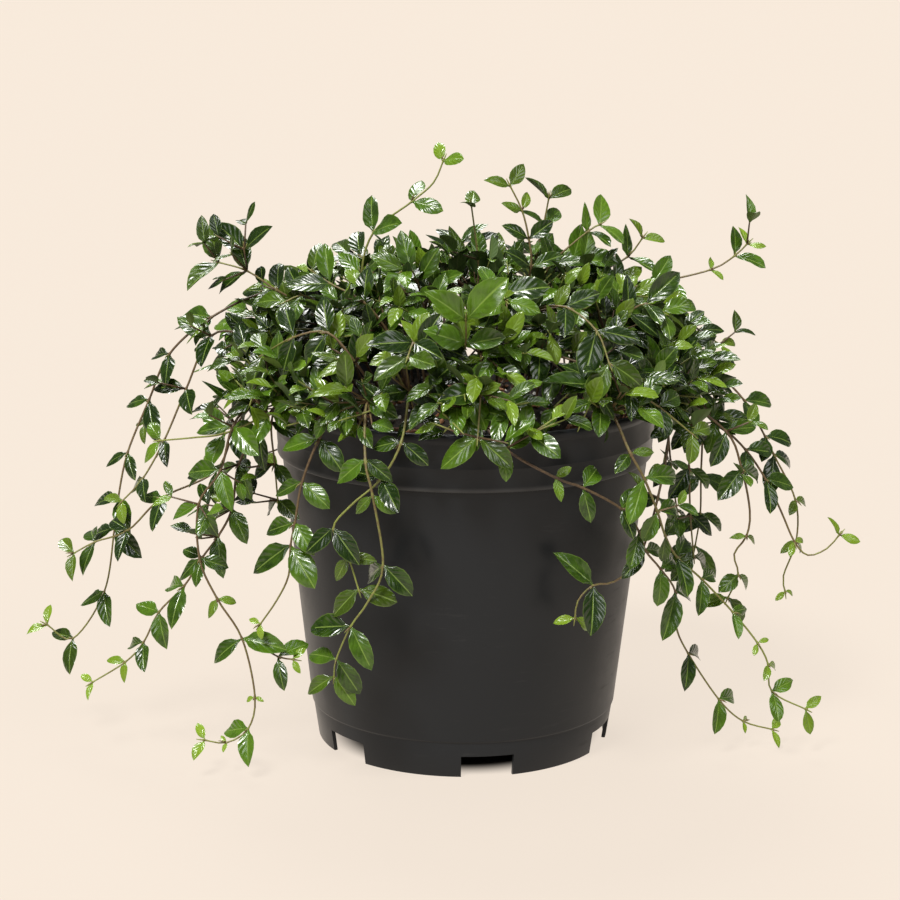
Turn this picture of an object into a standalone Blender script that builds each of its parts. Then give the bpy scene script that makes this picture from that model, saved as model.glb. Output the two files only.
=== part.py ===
"""A potted Asian jasmine: a nursery pot, its potting mix, and the runners that fill and spill from it.

Units are metres, +Z is up. The pot stands on z = 0, and the part's origin is on that plane, under the
middle of the whole plant's spread. The runners' routes are written in millimetres from the pot's axis.
"""

import math
import random
from dataclasses import dataclass, field

import bmesh
import bpy
from mathutils import Matrix, Vector
from mathutils.bvhtree import BVHTree
from mathutils.geometry import interpolate_bezier

MM = 0.001

# ---------------------------------------------------------------- pot
RIM_RADIUS = 82.5 * MM           # outside of the rolled lip
POT_HEIGHT = 150.0 * MM          # floor to the top of the lip
FOOT_RADIUS = 62.9 * MM          # outside of the feet, where they stand
WALL = 1.6 * MM                  # plastic thickness of the side
BAND_HEIGHT = 24.0 * MM          # the stepped stacking band under the lip
BAND_STEP = 1.6 * MM             # how far the band stands out from the side
LIP_PROUD = 0.9 * MM             # how far the lip stands out from the band
LIP_DEPTH = 3.4 * MM             # height of the rolled lip
BAND_FLARE = 1.8 * MM            # how much the band opens from its foot to the lip
HEEL_HEIGHT = 15.5 * MM          # the groove above the feet
HEEL_FLARE = 2.2 * MM            # how much the feet open from the ground to the groove
HEEL_STEP = 0.7 * MM             # depth of the groove
FLOOR_HEIGHT = 10.4 * MM         # underside of the raised floor
FLOOR_THICK = 1.6 * MM
NOTCH_COUNT = 6
NOTCH_ANGLE = 20.0               # degrees of the foot ring that each notch takes
NOTCH_HEIGHT = 9.4 * MM
NOTCH_TURN = -80.5               # degrees from +X to the middle of the first notch
SLOT_DEPTH = 7.0 * MM            # radial length of the drain slot behind each notch
SLOT_ANGLE = 14.0                # degrees that each drain slot takes
SLOT_INSET = 1.5 * MM            # from the side's inner face to the slot
POT_SEGMENTS = 48

# ---------------------------------------------------------------- potting mix
GAP = 0.3 * MM                   # clearance that touching pieces keep
SOIL_DROP = 6.5 * MM             # lip to the mix at the side
SOIL_CROWN = 3.0 * MM            # how much higher the mix stands at the middle
SOIL_RIPPLE = 0.8 * MM           # height of its unevenness

# ---------------------------------------------------------------- runners
# The routes are set out round a pot of this size, and fit_to_pot carries them to the one built.
DRAWN_RADIUS = 82.5
DRAWN_HEIGHT = 150.0
STEM_ROOT = 1.0 * MM             # half width of a stem where it leaves the mix
STEM_TIP = 0.55 * MM             # half width at its growing end
NODE_HALF = 1.2 * MM             # half height of the joint that a leaf pair grows from
STEM_STEP = 20.0 * MM            # longest straight piece of stem
LEAF_WIDTH = 0.56                # share of a leaf's length
LEAF_WAIST = 0.45                # where along its length a leaf is widest
LEAF_HALF_THICK = 0.40 * MM
LEAF_CURL = 0.10                 # how far the point drops below the blade, as a share of its length
LEAF_LEAN = 35.0                 # degrees that a leaf leans towards the stem's tip
LIGHT = Vector((0.0, -0.50, 0.62))
OUTWARD = 0.45                   # how much a leaf also turns away from the pot's axis
GOLDEN_TURN = 137.5
SWAYS = [side * step * MM for step in (0.0, 2.5, 5.0, 7.5, 10.0, 13.0, 16.0) for side in (1, -1)]


@dataclass
class Runner:
    """One stem with its leaf pairs.

    route holds (x, y, z, leaf) in millimetres from the pot's axis and the ground. The first point is the
    root, which is set on the mix. leaf is the length of the pair that grows there, or 0 for none.
    forks maps a point's place in the route to the route of a side stem that grows from it.
    """

    name: str
    route: list
    forks: dict = field(default_factory=dict)


LEFT = [
    Runner("runner_left_high", [
        (-34, -2, 0, 0), (-42, -14, 166, 15), (-50, -20, 181, 16), (-65, -20, 190, 15),
        (-78, -20, 197, 14), (-91, -18, 205, 16), (-103, -15, 208, 19)],
        {5: [(-92, -19, 214, 18)]}),
    Runner("runner_left_outer", [
        (-46, 24, 0, 0), (-58, 22, 166, 15), (-72, 18, 182, 16), (-85, 10, 191, 15),
        (-108, 0, 182, 14), (-126, 0, 166, 15), (-135, 0, 146, 17), (-144, -5, 124, 13),
        (-148, -8, 105, 17), (-150, -8, 91, 17), (-155, -8, 63, 16), (-169, -8, 42, 15),
        (-180, -8, 48, 9)],
        {6: [(-138, 6, 134, 8)]}),
    Runner("runner_left_inner", [
        (-52, 6, 0, 0), (-66, -2, 164, 16), (-91, -10, 176, 15), (-107, -10, 176, 15),
        (-118, -10, 153, 16), (-127, -15, 132, 13), (-136, -18, 116, 13), (-145, -18, 106, 10)]),
    Runner("runner_left_slanting", [
        (-50, -16, 0, 0), (-72, -22, 160, 16), (-96, -20, 140, 15), (-105, -20, 120, 15),
        (-127, -28, 110, 16), (-142, -25, 95, 14), (-157, -18, 88, 14), (-166, -18, 83, 11)]),
    Runner("runner_left_tawny", [
        (-42, -38, 0, 0), (-59, -58, 160, 17), (-80, -56, 152, 16), (-98, -50, 143, 15),
        (-126, -38, 137, 12)]),
    Runner("runner_left_low", [
        (-54, -30, 0, 0), (-74, -48, 156, 16), (-84, -48, 144, 16), (-93, -46, 129, 14),
        (-96, -46, 110, 14), (-102, -45, 98, 15), (-109, -42, 88, 13), (-117, -40, 75, 17),
        (-128, -38, 63, 14), (-135, -36, 49, 13), (-143, -35, 40, 9), (-157, -35, 31, 7)]),
    Runner("runner_left_front", [
        (-58, -18, 0, 0), (-76, -38, 162, 16), (-94, -60, 148, 15), (-99, -62, 130, 15),
        (-108, -62, 116, 15), (-108, -62, 93, 12), (-101, -62, 76, 8), (-91, -62, 59, 17),
        (-86, -62, 34, 4), (-89, -62, 20, 14), (-98, -62, 14, 4), (-107, -62, 15, 9)],
        {7: [(-83, -63, 56, 0), (-76, -64, 52, 15), (-70, -64, 51, 6)]}),
    Runner("runner_left_rim", [
        (-40, -50, 0, 0), (-50, -68, 158, 19), (-58, -76, 147, 15), (-65, -76, 129, 14),
        (-68, -76, 112, 14), (-70, -74, 102, 19), (-71, -72, 89, 0), (-76, -70, 78, 0),
        (-83, -67, 67, 6)]),
    Runner("runner_left_short", [
        (-62, 2, 0, 0), (-80, -26, 158, 15), (-86, -38, 146, 14), (-85, -36, 128, 12),
        (-84, -34, 112, 13)]),
    Runner("runner_left_top", [
        (-22, -14, 0, 0), (-32, -32, 182, 15), (-42, -34, 195, 15), (-56, -30, 202, 16),
        (-63, -26, 206, 15)]),
    Runner("runner_left_shoulder", [
        (-30, -36, 0, 0), (-44, -66, 176, 16), (-55, -66, 188, 16), (-69, -60, 185, 16),
        (-82, -50, 176, 15)]),
]

FRONT = [
    Runner("runner_front_pale", [
        (-16, -46, 0, 0), (-22, -74, 166, 18), (-25, -90, 149, 12), (-33, -90, 134, 16),
        (-45, -90, 123, 0), (-52, -88, 113, 16), (-46, -88, 101, 10), (-42, -88, 88, 16)]),
    Runner("runner_front_blush", [
        (-30, -54, 0, 0), (-40, -74, 162, 15), (-41, -90, 142, 14), (-38, -92, 128, 10),
        (-34, -90, 99, 18), (-40, -90, 84, 0), (-47, -88, 73, 18), (-53, -84, 58, 16),
        (-54, -82, 50, 15)]),
    Runner("runner_front_middle", [
        (4, -40, 0, 0), (6, -66, 180, 16), (6, -86, 168, 16), (5, -94, 152, 17)]),
    Runner("runner_front_bright", [
        (-6, -30, 0, 0), (-2, -62, 174, 15), (0, -78, 186, 17), (0, -86, 197, 22)]),
    Runner("runner_front_trailing", [
        (20, -50, 0, 0), (4, -80, 160, 16), (16, -92, 147, 12), (36, -90, 135, 8),
        (47, -86, 130, 15), (63, -76, 119, 12), (71, -66, 107, 14), (74, -62, 98, 14),
        (81, -54, 88, 14), (88, -46, 76, 19), (89, -42, 60, 0), (95, -36, 46, 15),
        (109, -30, 24, 13), (120, -26, 13, 5), (133, -22, 8, 9)]),
    Runner("runner_front_orange", [
        (52, -40, 0, 0), (58, -66, 157, 6), (66, -76, 142, 10), (72, -74, 131, 17),
        (78, -68, 116, 14), (82, -61, 104, 11), (88, -50, 92, 15), (99, -44, 81, 14),
        (113, -38, 65, 10), (124, -36, 51, 5), (129, -34, 41, 8), (131, -34, 29, 12),
        (146, -30, 20, 11)]),
    Runner("runner_front_sprig", [
        (64, -34, 0, 0), (76, -37, 160, 14), (88, -46, 146, 12), (84, -54, 118, 12),
        (76, -62, 94, 0), (66, -68, 86, 0), (57, -74, 86, 19), (51, -76, 80, 0), (50, -76, 73, 9)]),
    Runner("runner_rim_right", [
        (14, -16, 0, 0), (14, -46, 180, 16), (30, -60, 180, 16), (50, -66, 175, 15),
        (66, -66, 166, 14), (78, -62, 158, 14), (92, -58, 146, 13)]),
    Runner("runner_right_shoulder", [
        (26, -22, 0, 0), (28, -48, 194, 15), (40, -60, 198, 16), (52, -68, 190, 18),
        (57, -74, 178, 17)]),
]

RIGHT = [
    Runner("runner_right_high", [
        (30, 4, 0, 0), (38, 2, 180, 15), (56, 0, 193, 15), (79, 0, 198, 15), (103, 0, 204, 6),
        (113, 0, 210, 13), (118, 0, 215, 7)]),
    Runner("runner_right_outer", [
        (40, 22, 0, 0), (54, 18, 176, 15), (67, 14, 181, 16), (79, 12, 177, 14),
        (94, 10, 170, 16), (106, 10, 160, 15), (120, 8, 146, 18), (129, 5, 131, 14),
        (133, 5, 123, 17), (143, 5, 103, 9), (144, 5, 85, 8), (139, 5, 69, 0), (140, 5, 62, 6)]),
    Runner("runner_right_hook", [
        (54, 6, 0, 0), (80, -4, 166, 15), (106, -12, 142, 15), (119, -12, 129, 13),
        (128, -12, 116, 15), (135, -12, 102, 0), (141, -12, 89, 6), (147, -12, 83, 0),
        (155, -12, 86, 0), (160, -12, 92, 9)]),
    Runner("runner_right_zigzag", [
        (60, -18, 0, 0), (86, -28, 156, 15), (109, -26, 140, 15), (116, -26, 124, 15),
        (120, -26, 106, 0), (119, -26, 95, 7), (114, -26, 87, 0), (116, -26, 78, 13),
        (112, -26, 68, 12)]),
    Runner("runner_right_hanging_back", [
        (58, 26, 0, 0), (80, 36, 158, 15), (88, 36, 138, 13), (91, 34, 113, 14), (94, 30, 92, 14),
        (97, 27, 77, 13)]),
    Runner("runner_right_hanging_mid", [
        (68, -4, 0, 0), (84, -15, 160, 16), (93, -24, 142, 14), (94, -26, 124, 14),
        (95, -27, 104, 13), (97, -26, 86, 15)]),
    Runner("runner_right_hanging_front", [
        (64, 18, 0, 0), (82, 11, 164, 15), (98, 8, 152, 14), (102, 8, 134, 14), (102, 6, 113, 16),
        (102, 4, 97, 15), (100, 2, 83, 16)]),
    Runner("runner_right_crook", [
        (46, 34, 0, 0), (62, 30, 180, 15), (80, 24, 188, 15), (92, 22, 182, 13),
        (101, 22, 174, 12), (110, 22, 168, 11)]),
]

TOP = [
    Runner("runner_top_tall", [
        (-24, 10, 0, 0), (-40, 4, 180, 15), (-44, 0, 201, 15), (-39, 0, 219, 18),
        (-23, 0, 232, 15), (-14, 0, 240, 0), (-10, 0, 249, 11)]),
    Runner("runner_top_centre", [
        (6, 14, 0, 0), (5, 12, 190, 15), (5, 10, 206, 16), (2, 10, 229, 12)]),
    Runner("runner_top_fork", [
        (12, 0, 0, 0), (22, -6, 186, 15), (27, -10, 206, 15), (26, -10, 218, 12),
        (23, -10, 230, 9), (18, -10, 240, 11)]),
    Runner("runner_top_right", [
        (20, 20, 0, 0), (28, 22, 184, 15), (30, 20, 206, 15), (33, 20, 220, 14), (35, 20, 231, 15)]),
    Runner("runner_top_slanting", [
        (28, 38, 0, 0), (30, 24, 176, 15), (36, 6, 205, 15), (51, 5, 219, 12), (56, 5, 222, 14)]),
    Runner("runner_top_shoulder", [
        (42, 10, 0, 0), (50, 16, 186, 15), (57, 16, 199, 15), (69, 15, 207, 14), (75, 15, 215, 11)]),
]

# The crown's shoots stand evenly round the pot and end on a dome.
CROWN_COUNT = 12
CROWN_REACH = 102.0              # half width of the dome, in millimetres as the routes are
CROWN_TOP = 62.0                 # its height above the lip
CROWN_FIRST = 96.0               # bearing of the first shoot, in degrees
CROWN_STEEPEST = 72.0
CROWN_LOWEST = 14.0
CROWN_LEAF = 17.0

# Shoots that fall over the rim at the back.
BACK_COUNT = 8
BACK_FIRST = 28.0                # bearings of the first and the last of them
BACK_LAST = 152.0
BACK_LENGTHS = (44.0, 84.0, 106.0, 66.0, 98.0, 72.0, 90.0, 40.0)
BACK_REACH = 100.0
BACK_LEAF = 15.0

# Bark chips on the mix: place across the pot, size and bearing, in millimetres and degrees.
BARK_CHIPS = [
    (46, -48, 10, 5.0, 20), (55, -24, 8, 4.0, 75), (30, -60, 7, 4.0, 140), (-20, -60, 9, 4.5, 10),
]
CHIP_THICK = 2.2 * MM


# ---------------------------------------------------------------- scene and materials
def clear_scene():
    """Removes what a new file holds."""
    for item in list(bpy.data.objects):
        bpy.data.objects.remove(item, do_unlink=True)


def make_material(name, colour, roughness, metallic=0.0):
    """Returns a Principled material."""
    material = bpy.data.materials.new(name)
    material.use_nodes = True
    shader = material.node_tree.nodes["Principled BSDF"]
    shader.inputs["Base Color"].default_value = (*colour, 1.0)
    shader.inputs["Roughness"].default_value = roughness
    shader.inputs["Metallic"].default_value = metallic
    return material


def add_object(name, bm, material):
    """Makes an object of the finished bmesh."""
    mesh = bpy.data.meshes.new(name)
    bm.to_mesh(mesh)
    bm.free()
    mesh.materials.append(material)
    mesh.shade_smooth()
    mesh.set_sharp_from_angle(angle=math.radians(35))
    item = bpy.data.objects.new(name, mesh)
    bpy.context.scene.collection.objects.link(item)
    return item


# ---------------------------------------------------------------- pot and mix
def side_radius(height):
    """Outer radius of the pot's side at a height between the groove and the band."""
    low = FOOT_RADIUS + HEEL_FLARE + HEEL_STEP
    high = RIM_RADIUS - LIP_PROUD - BAND_FLARE - BAND_STEP
    share = (height - HEEL_HEIGHT) / (POT_HEIGHT - BAND_HEIGHT - HEEL_HEIGHT)
    return low + (high - low) * share


def pot_profile():
    """Half section of the pot as (radius, height), from the floor's middle underneath to its middle above."""
    band_low = POT_HEIGHT - BAND_HEIGHT
    lip_low = POT_HEIGHT - LIP_DEPTH
    band_top = RIM_RADIUS - LIP_PROUD
    band_foot = band_top - BAND_FLARE
    floor_top = FLOOR_HEIGHT + FLOOR_THICK
    heel_inner = FOOT_RADIUS - WALL
    return [
        (0.0, FLOOR_HEIGHT),
        (heel_inner + HEEL_FLARE * FLOOR_HEIGHT / HEEL_HEIGHT, FLOOR_HEIGHT),
        (heel_inner, 0.0),
        (FOOT_RADIUS, 0.0),
        (FOOT_RADIUS + HEEL_FLARE, HEEL_HEIGHT - HEEL_STEP),
        (side_radius(HEEL_HEIGHT), HEEL_HEIGHT + HEEL_STEP),
        (side_radius(band_low - BAND_STEP), band_low - BAND_STEP),
        (band_foot - BAND_STEP / 2, band_low - BAND_STEP / 2),
        (band_foot, band_low + BAND_STEP / 2),
        (band_top, lip_low - LIP_PROUD),
        (RIM_RADIUS, lip_low + LIP_PROUD / 2),
        (RIM_RADIUS, POT_HEIGHT - LIP_PROUD),
        (RIM_RADIUS - LIP_PROUD, POT_HEIGHT),
        (RIM_RADIUS - LIP_PROUD - WALL, POT_HEIGHT),
        (band_top - WALL - LIP_PROUD / 2, lip_low - LIP_PROUD),
        (band_foot - WALL, band_low + BAND_STEP / 2),
        (side_radius(band_low - BAND_STEP) - WALL, band_low - BAND_STEP),
        (side_radius(floor_top) - WALL, floor_top),
        (0.0, floor_top),
    ]


def turn_profile(profile, segments):
    """Turns a half section round the Z axis into a closed bmesh."""
    bm = bmesh.new()
    points = [bm.verts.new((radius, 0.0, height)) for radius, height in profile]
    edges = [bm.edges.new(pair) for pair in zip(points, points[1:])]
    bmesh.ops.spin(
        bm, geom=points + edges, cent=(0, 0, 0), axis=(0, 0, 1), angle=math.tau,
        steps=segments, use_merge=True, use_duplicate=False)
    bmesh.ops.remove_doubles(bm, verts=bm.verts, dist=0.01 * MM)
    bmesh.ops.recalc_face_normals(bm, faces=bm.faces)
    return bm


def wedge_cutter(name, inner, outer, low, high, angle, bearing):
    """Makes a block that covers part of a ring, and hides it as a cutter."""
    bm = bmesh.new()
    half = math.radians(angle / 2)
    bmesh.ops.create_cube(bm, size=1.0)
    for vert in bm.verts:
        radius = outer if vert.co.x > 0 else inner
        turn = half if vert.co.y > 0 else -half
        vert.co = (radius * math.cos(turn), radius * math.sin(turn), high if vert.co.z > 0 else low)
    bmesh.ops.rotate(bm, verts=bm.verts, matrix=Matrix.Rotation(math.radians(bearing), 3, "Z"))
    bmesh.ops.recalc_face_normals(bm, faces=bm.faces)
    mesh = bpy.data.meshes.new(name)
    bm.to_mesh(mesh)
    bm.free()
    cutter = bpy.data.objects.new(name, mesh)
    bpy.context.scene.collection.objects.link(cutter)
    cutter.hide_render = True
    cutter.display_type = "WIRE"
    return cutter


def cut_away(item, cutter):
    """Subtracts the cutter from the object."""
    cut = item.modifiers.new(cutter.name, "BOOLEAN")
    cut.operation = "DIFFERENCE"
    cut.solver = "EXACT"
    cut.object = cutter


def make_pot(material):
    """The pot: one moulding with a stepped rim band, a raised floor, six feet and drain slots."""
    pot = add_object("pot", turn_profile(pot_profile(), POT_SEGMENTS), material)
    slot_outer = side_radius(FLOOR_HEIGHT) - WALL - SLOT_INSET
    for index in range(NOTCH_COUNT):
        bearing = NOTCH_TURN + index * 360.0 / NOTCH_COUNT
        cut_away(pot, wedge_cutter(
            f"notch_cutter_{index + 1}", FOOT_RADIUS - 4 * WALL, FOOT_RADIUS + 4 * WALL,
            -WALL, NOTCH_HEIGHT, NOTCH_ANGLE, bearing))
        cut_away(pot, wedge_cutter(
            f"slot_cutter_{index + 1}", slot_outer - SLOT_DEPTH, slot_outer,
            FLOOR_HEIGHT - FLOOR_THICK, FLOOR_HEIGHT + 2 * FLOOR_THICK, SLOT_ANGLE, bearing))
    return pot


def soil_ripple(x, y):
    """Unevenness of the mix at a place, between about -1 and 1."""
    return (math.sin(x / (9 * MM) + 1.3) * math.cos(y / (11 * MM)) + math.sin((x + y) / (6 * MM))) / 2


def make_soil(material):
    """The potting mix: it fills the pot, with a slightly crowned, uneven top."""
    edge = POT_HEIGHT - SOIL_DROP
    bottom = FLOOR_HEIGHT + FLOOR_THICK + GAP
    band_low = POT_HEIGHT - BAND_HEIGHT
    clearance = WALL + 2 * GAP
    band_foot = RIM_RADIUS - LIP_PROUD - BAND_FLARE
    rise = (edge - band_low) / (BAND_HEIGHT - LIP_DEPTH)
    rim = band_foot + BAND_FLARE * rise - clearance - LIP_PROUD / 2
    profile = [
        (0.0, bottom),
        (side_radius(bottom) - clearance, bottom),
        (side_radius(band_low - BAND_STEP) - clearance, band_low - BAND_STEP),
        (band_foot - clearance, band_low + BAND_STEP),
        (rim, edge),
    ]
    for share in (0.82, 0.6, 0.38, 0.18):
        profile.append((rim * share, edge + SOIL_CROWN * (1 - share)))
    profile.append((0.0, edge + SOIL_CROWN))
    bm = turn_profile(profile, POT_SEGMENTS)
    for vert in bm.verts:
        if vert.co.z > edge + GAP:
            vert.co.z += SOIL_RIPPLE * soil_ripple(vert.co.x, vert.co.y)
    return add_object("soil", bm, material)


def make_chip(index, chip, ground, material):
    """A splinter of bark that lies on the mix."""
    x, y, length, width, bearing = chip
    centre = fit_to_pot(x, y, DRAWN_HEIGHT)
    bm = bmesh.new()
    bmesh.ops.create_cube(bm, size=1.0)
    for vert in bm.verts:
        narrow = 0.55 if vert.co.x > 0 else 1.0
        top = 0.7 if vert.co.z > 0 else 1.0
        vert.co.x *= length * MM * top
        vert.co.y *= width * MM * narrow * top
        vert.co.z *= CHIP_THICK * (0.6 + narrow / 2)
    bmesh.ops.rotate(bm, verts=bm.verts, matrix=Matrix.Rotation(math.radians(bearing), 3, "Z"))
    under = [ground.height(centre.x + vert.co.x, centre.y + vert.co.y) for vert in bm.verts]
    lowest = min(vert.co.z for vert in bm.verts)
    lift = max(under) + SOIL_RIPPLE + GAP - lowest
    bmesh.ops.translate(bm, verts=bm.verts, vec=(centre.x, centre.y, lift))
    return add_object(f"bark_chip_{index + 1}", bm, material)


# ---------------------------------------------------------------- keeping clear
class Ground:
    """The top of the mix, for whatever stands on it."""

    def __init__(self, soil):
        """Reads the mix's mesh."""
        bm = bmesh.new()
        bm.from_mesh(soil.data)
        self.tree = BVHTree.FromBMesh(bm)
        bm.free()

    def height(self, x, y):
        """Height of the mix at a place, or of its edge outside it."""
        spot = self.tree.ray_cast(Vector((x, y, 2 * POT_HEIGHT)), Vector((0, 0, -1)))[0]
        return spot.z if spot else POT_HEIGHT - SOIL_DROP


class Thicket:
    """What has been placed, so that whatever grows next keeps clear of it."""

    def __init__(self):
        """Starts empty."""
        self.pieces = []

    def add(self, owner, verts, faces):
        """Adds a closed shape that belongs to the named piece."""
        low = Vector([min(vert[axis] for vert in verts) for axis in range(3)])
        high = Vector([max(vert[axis] for vert in verts) for axis in range(3)])
        self.pieces.append((owner, low, high, BVHTree.FromPolygons(verts, faces)))

    def add_object(self, item):
        """Adds an object as it is evaluated."""
        shape = item.evaluated_get(bpy.context.evaluated_depsgraph_get()).to_mesh()
        self.add(item.name, [vert.co.copy() for vert in shape.vertices],
                 [tuple(face.vertices) for face in shape.polygons])
        item.to_mesh_clear()

    def is_clear(self, verts, faces, owners=None, skip=None):
        """Says whether a shape touches nothing.

        With owners, only their pieces are tried, and with skip, all but that owner's.
        """
        low = Vector([min(vert[axis] for vert in verts) for axis in range(3)])
        high = Vector([max(vert[axis] for vert in verts) for axis in range(3)])
        tree = None
        for owner, piece_low, piece_high, piece in self.pieces:
            if owner == skip or (owners is not None and owner not in owners):
                continue
            if any(high[axis] < piece_low[axis] or low[axis] > piece_high[axis] for axis in range(3)):
                continue
            tree = tree or BVHTree.FromPolygons(verts, faces)
            if tree.overlap(piece):
                return False
        return True


# ---------------------------------------------------------------- routes
def fit_to_pot(x, y, z):
    """Carries a point of a route, in millimetres round the drawn pot, to metres round the real one."""
    reach = max(math.hypot(x, y), 0.001)
    inside = min(reach, DRAWN_RADIUS)
    wide = (reach - inside) * MM + inside * RIM_RADIUS / DRAWN_RADIUS
    low = min(z, DRAWN_HEIGHT)
    tall = (z - low) * MM + low * POT_HEIGHT / DRAWN_HEIGHT
    return Vector((x / reach * wide, y / reach * wide, tall))


def crown_runner(index):
    """A shoot of the crown, from its root to a place on the dome."""
    share = index / (CROWN_COUNT - 1)
    bearing = math.radians(CROWN_FIRST + index * GOLDEN_TURN)
    rise = math.radians(CROWN_STEEPEST + (CROWN_LOWEST - CROWN_STEEPEST) * share)
    root = 14.0 + 50.0 * share
    across = Vector((math.cos(bearing), math.sin(bearing)))
    route = [(*(across * root), 0.0, 0.0)]
    for along, leaf in ((0.45, 0.9), (0.7, 1.0), (0.9, 1.0), (1.08, 0.85)):
        reach = root + (CROWN_REACH * math.cos(rise) - root) * along
        lift = CROWN_TOP * (0.35 + 0.65 * math.sin(rise)) * math.sin(min(along, 1.0) * math.pi / 2)
        if along > 1.0:
            lift -= 8.0 * (1.0 - math.sin(rise))
        route.append((*(across * reach), DRAWN_HEIGHT + lift, CROWN_LEAF * leaf))
    return Runner(f"runner_crown_{index + 1:02d}", route)


def back_runner(index):
    """A shoot that falls over the rim at the back."""
    share = index / (BACK_COUNT - 1)
    bearing = math.radians(BACK_FIRST + (BACK_LAST - BACK_FIRST) * share)
    across = Vector((math.cos(bearing), math.sin(bearing)))
    length = BACK_LENGTHS[index]
    route = [(*(across * 52.0), 0.0, 0.0), (*(across * 70.0), DRAWN_HEIGHT + 30.0, BACK_LEAF)]
    route.append((*(across * (BACK_REACH - 4.0)), DRAWN_HEIGHT + 14.0, BACK_LEAF))
    steps = round(length / 22.0)
    for step in range(1, steps + 1):
        fall = step / steps
        reach = BACK_REACH + 9.0 * math.sin(fall * math.pi * 0.8)
        route.append((*(across * reach), DRAWN_HEIGHT - length * fall, BACK_LEAF * (1.0 - 0.4 * fall)))
    return Runner(f"runner_back_{index + 1}", route)


def smooth_route(points):
    """Reads a smooth curve through the points.

    Returns a list of (place, station), where station is the point's index, or None in between.
    """
    ends = [2 * points[0] - points[1], *points, 2 * points[-1] - points[-2]]
    samples = [(points[0], 0)]
    for index in range(len(points) - 1):
        before, start, stop, after = ends[index:index + 4]
        count = max(1, round((stop - start).length / STEM_STEP))
        curve = interpolate_bezier(
            start, start + (stop - before) / 6, stop - (after - start) / 6, stop, count + 1)
        samples += [(Vector(place), None) for place in curve[1:-1]]
        samples.append((stop, index + 1))
    return samples


def sway(points, amount):
    """Moves a route sideways by an amount, less near its root."""
    course = points[-1] - points[0]
    side = Vector((-course.y, course.x, 0.0))
    if side.length < MM:
        side = Vector((1.0, 0.0, 0.0))
    side.normalize()
    return [place + side * amount * min(1.0, 0.4 + 0.3 * index) for index, place in enumerate(points)]


# ---------------------------------------------------------------- growing
def square_ring(centre, along, side, half):
    """Four corners of a square section across a stem."""
    across = (side - along * side.dot(along)).normalized() * half
    other = along.cross(across)
    return [centre + across + other, centre - across + other,
            centre - across - other, centre + across - other]


def blade_ring(centre, heading, normal, half_width, half_thick):
    """Four corners of a leaf's flat diamond section."""
    side = normal.cross(heading).normalized() * half_width
    lift = normal * half_thick
    return [centre + side, centre + lift, centre - side, centre - lift]


def match_ring(face, ring):
    """Turns a ring's order until it lies best over the corners of a face."""
    middle = face.calc_center_median()
    centre = sum(ring, Vector()) / len(ring)
    ways = [(corner.co - middle).normalized() for corner in face.verts]
    spokes = [(corner - centre).normalized() for corner in ring]
    orders = [spokes[turn:] + spokes[:turn] for turn in range(len(ring))]
    misses = [sum((a - b).length for a, b in zip(ways, order)) for order in orders]
    best = misses.index(min(misses))
    return ring[best:] + ring[:best]


def extrude_to(bm, face, ring):
    """Extrudes one face to a ring. Returns the new end face and the side faces."""
    end = bmesh.ops.extrude_discrete_faces(bm, faces=[face])["faces"][0]
    for vert, place in zip(end.verts, ring):
        vert.co = place
    sides = [side for edge in end.edges for side in edge.link_faces if side is not end]
    return end, sides


def point_off(bm, face, place):
    """Draws a face out to a point."""
    tip = bmesh.ops.poke(bm, faces=[face])["verts"][0]
    tip.co = place


@dataclass
class Leaf:
    """One leaf: where it leaves the stem, where it heads, which way it faces and how long it is."""

    base: Vector
    heading: Vector
    normal: Vector
    length: float

    def tip(self, extra=0.0):
        """The leaf's point."""
        return (self.base + self.heading * (self.length + extra)
                - self.normal * self.length * LEAF_CURL)

    def waist(self, extra=0.0):
        """The section at its widest place."""
        return blade_ring(
            self.base + self.heading * self.length * LEAF_WAIST, self.heading, self.normal,
            self.length * LEAF_WIDTH / 2 + extra, LEAF_HALF_THICK + extra)

    def blade(self, start, extra=0.0):
        """Vertices and faces of the blade beyond a share of its length, grown all round by extra."""
        share = start / LEAF_WAIST
        heel = blade_ring(
            self.base + self.heading * self.length * start, self.heading, self.normal,
            max(self.length * LEAF_WIDTH / 2 * share, NODE_HALF) + extra,
            max(LEAF_HALF_THICK, STEM_ROOT * (1 - share)) + extra)
        verts = [*heel, *self.waist(extra), self.tip(extra)]
        faces = [(3, 2, 1, 0)]
        for corner in range(4):
            following = (corner + 1) % 4
            faces.append((corner, following, following + 4, corner + 4))
            faces.append((corner + 4, following + 4, 8))
        return verts, faces


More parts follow.
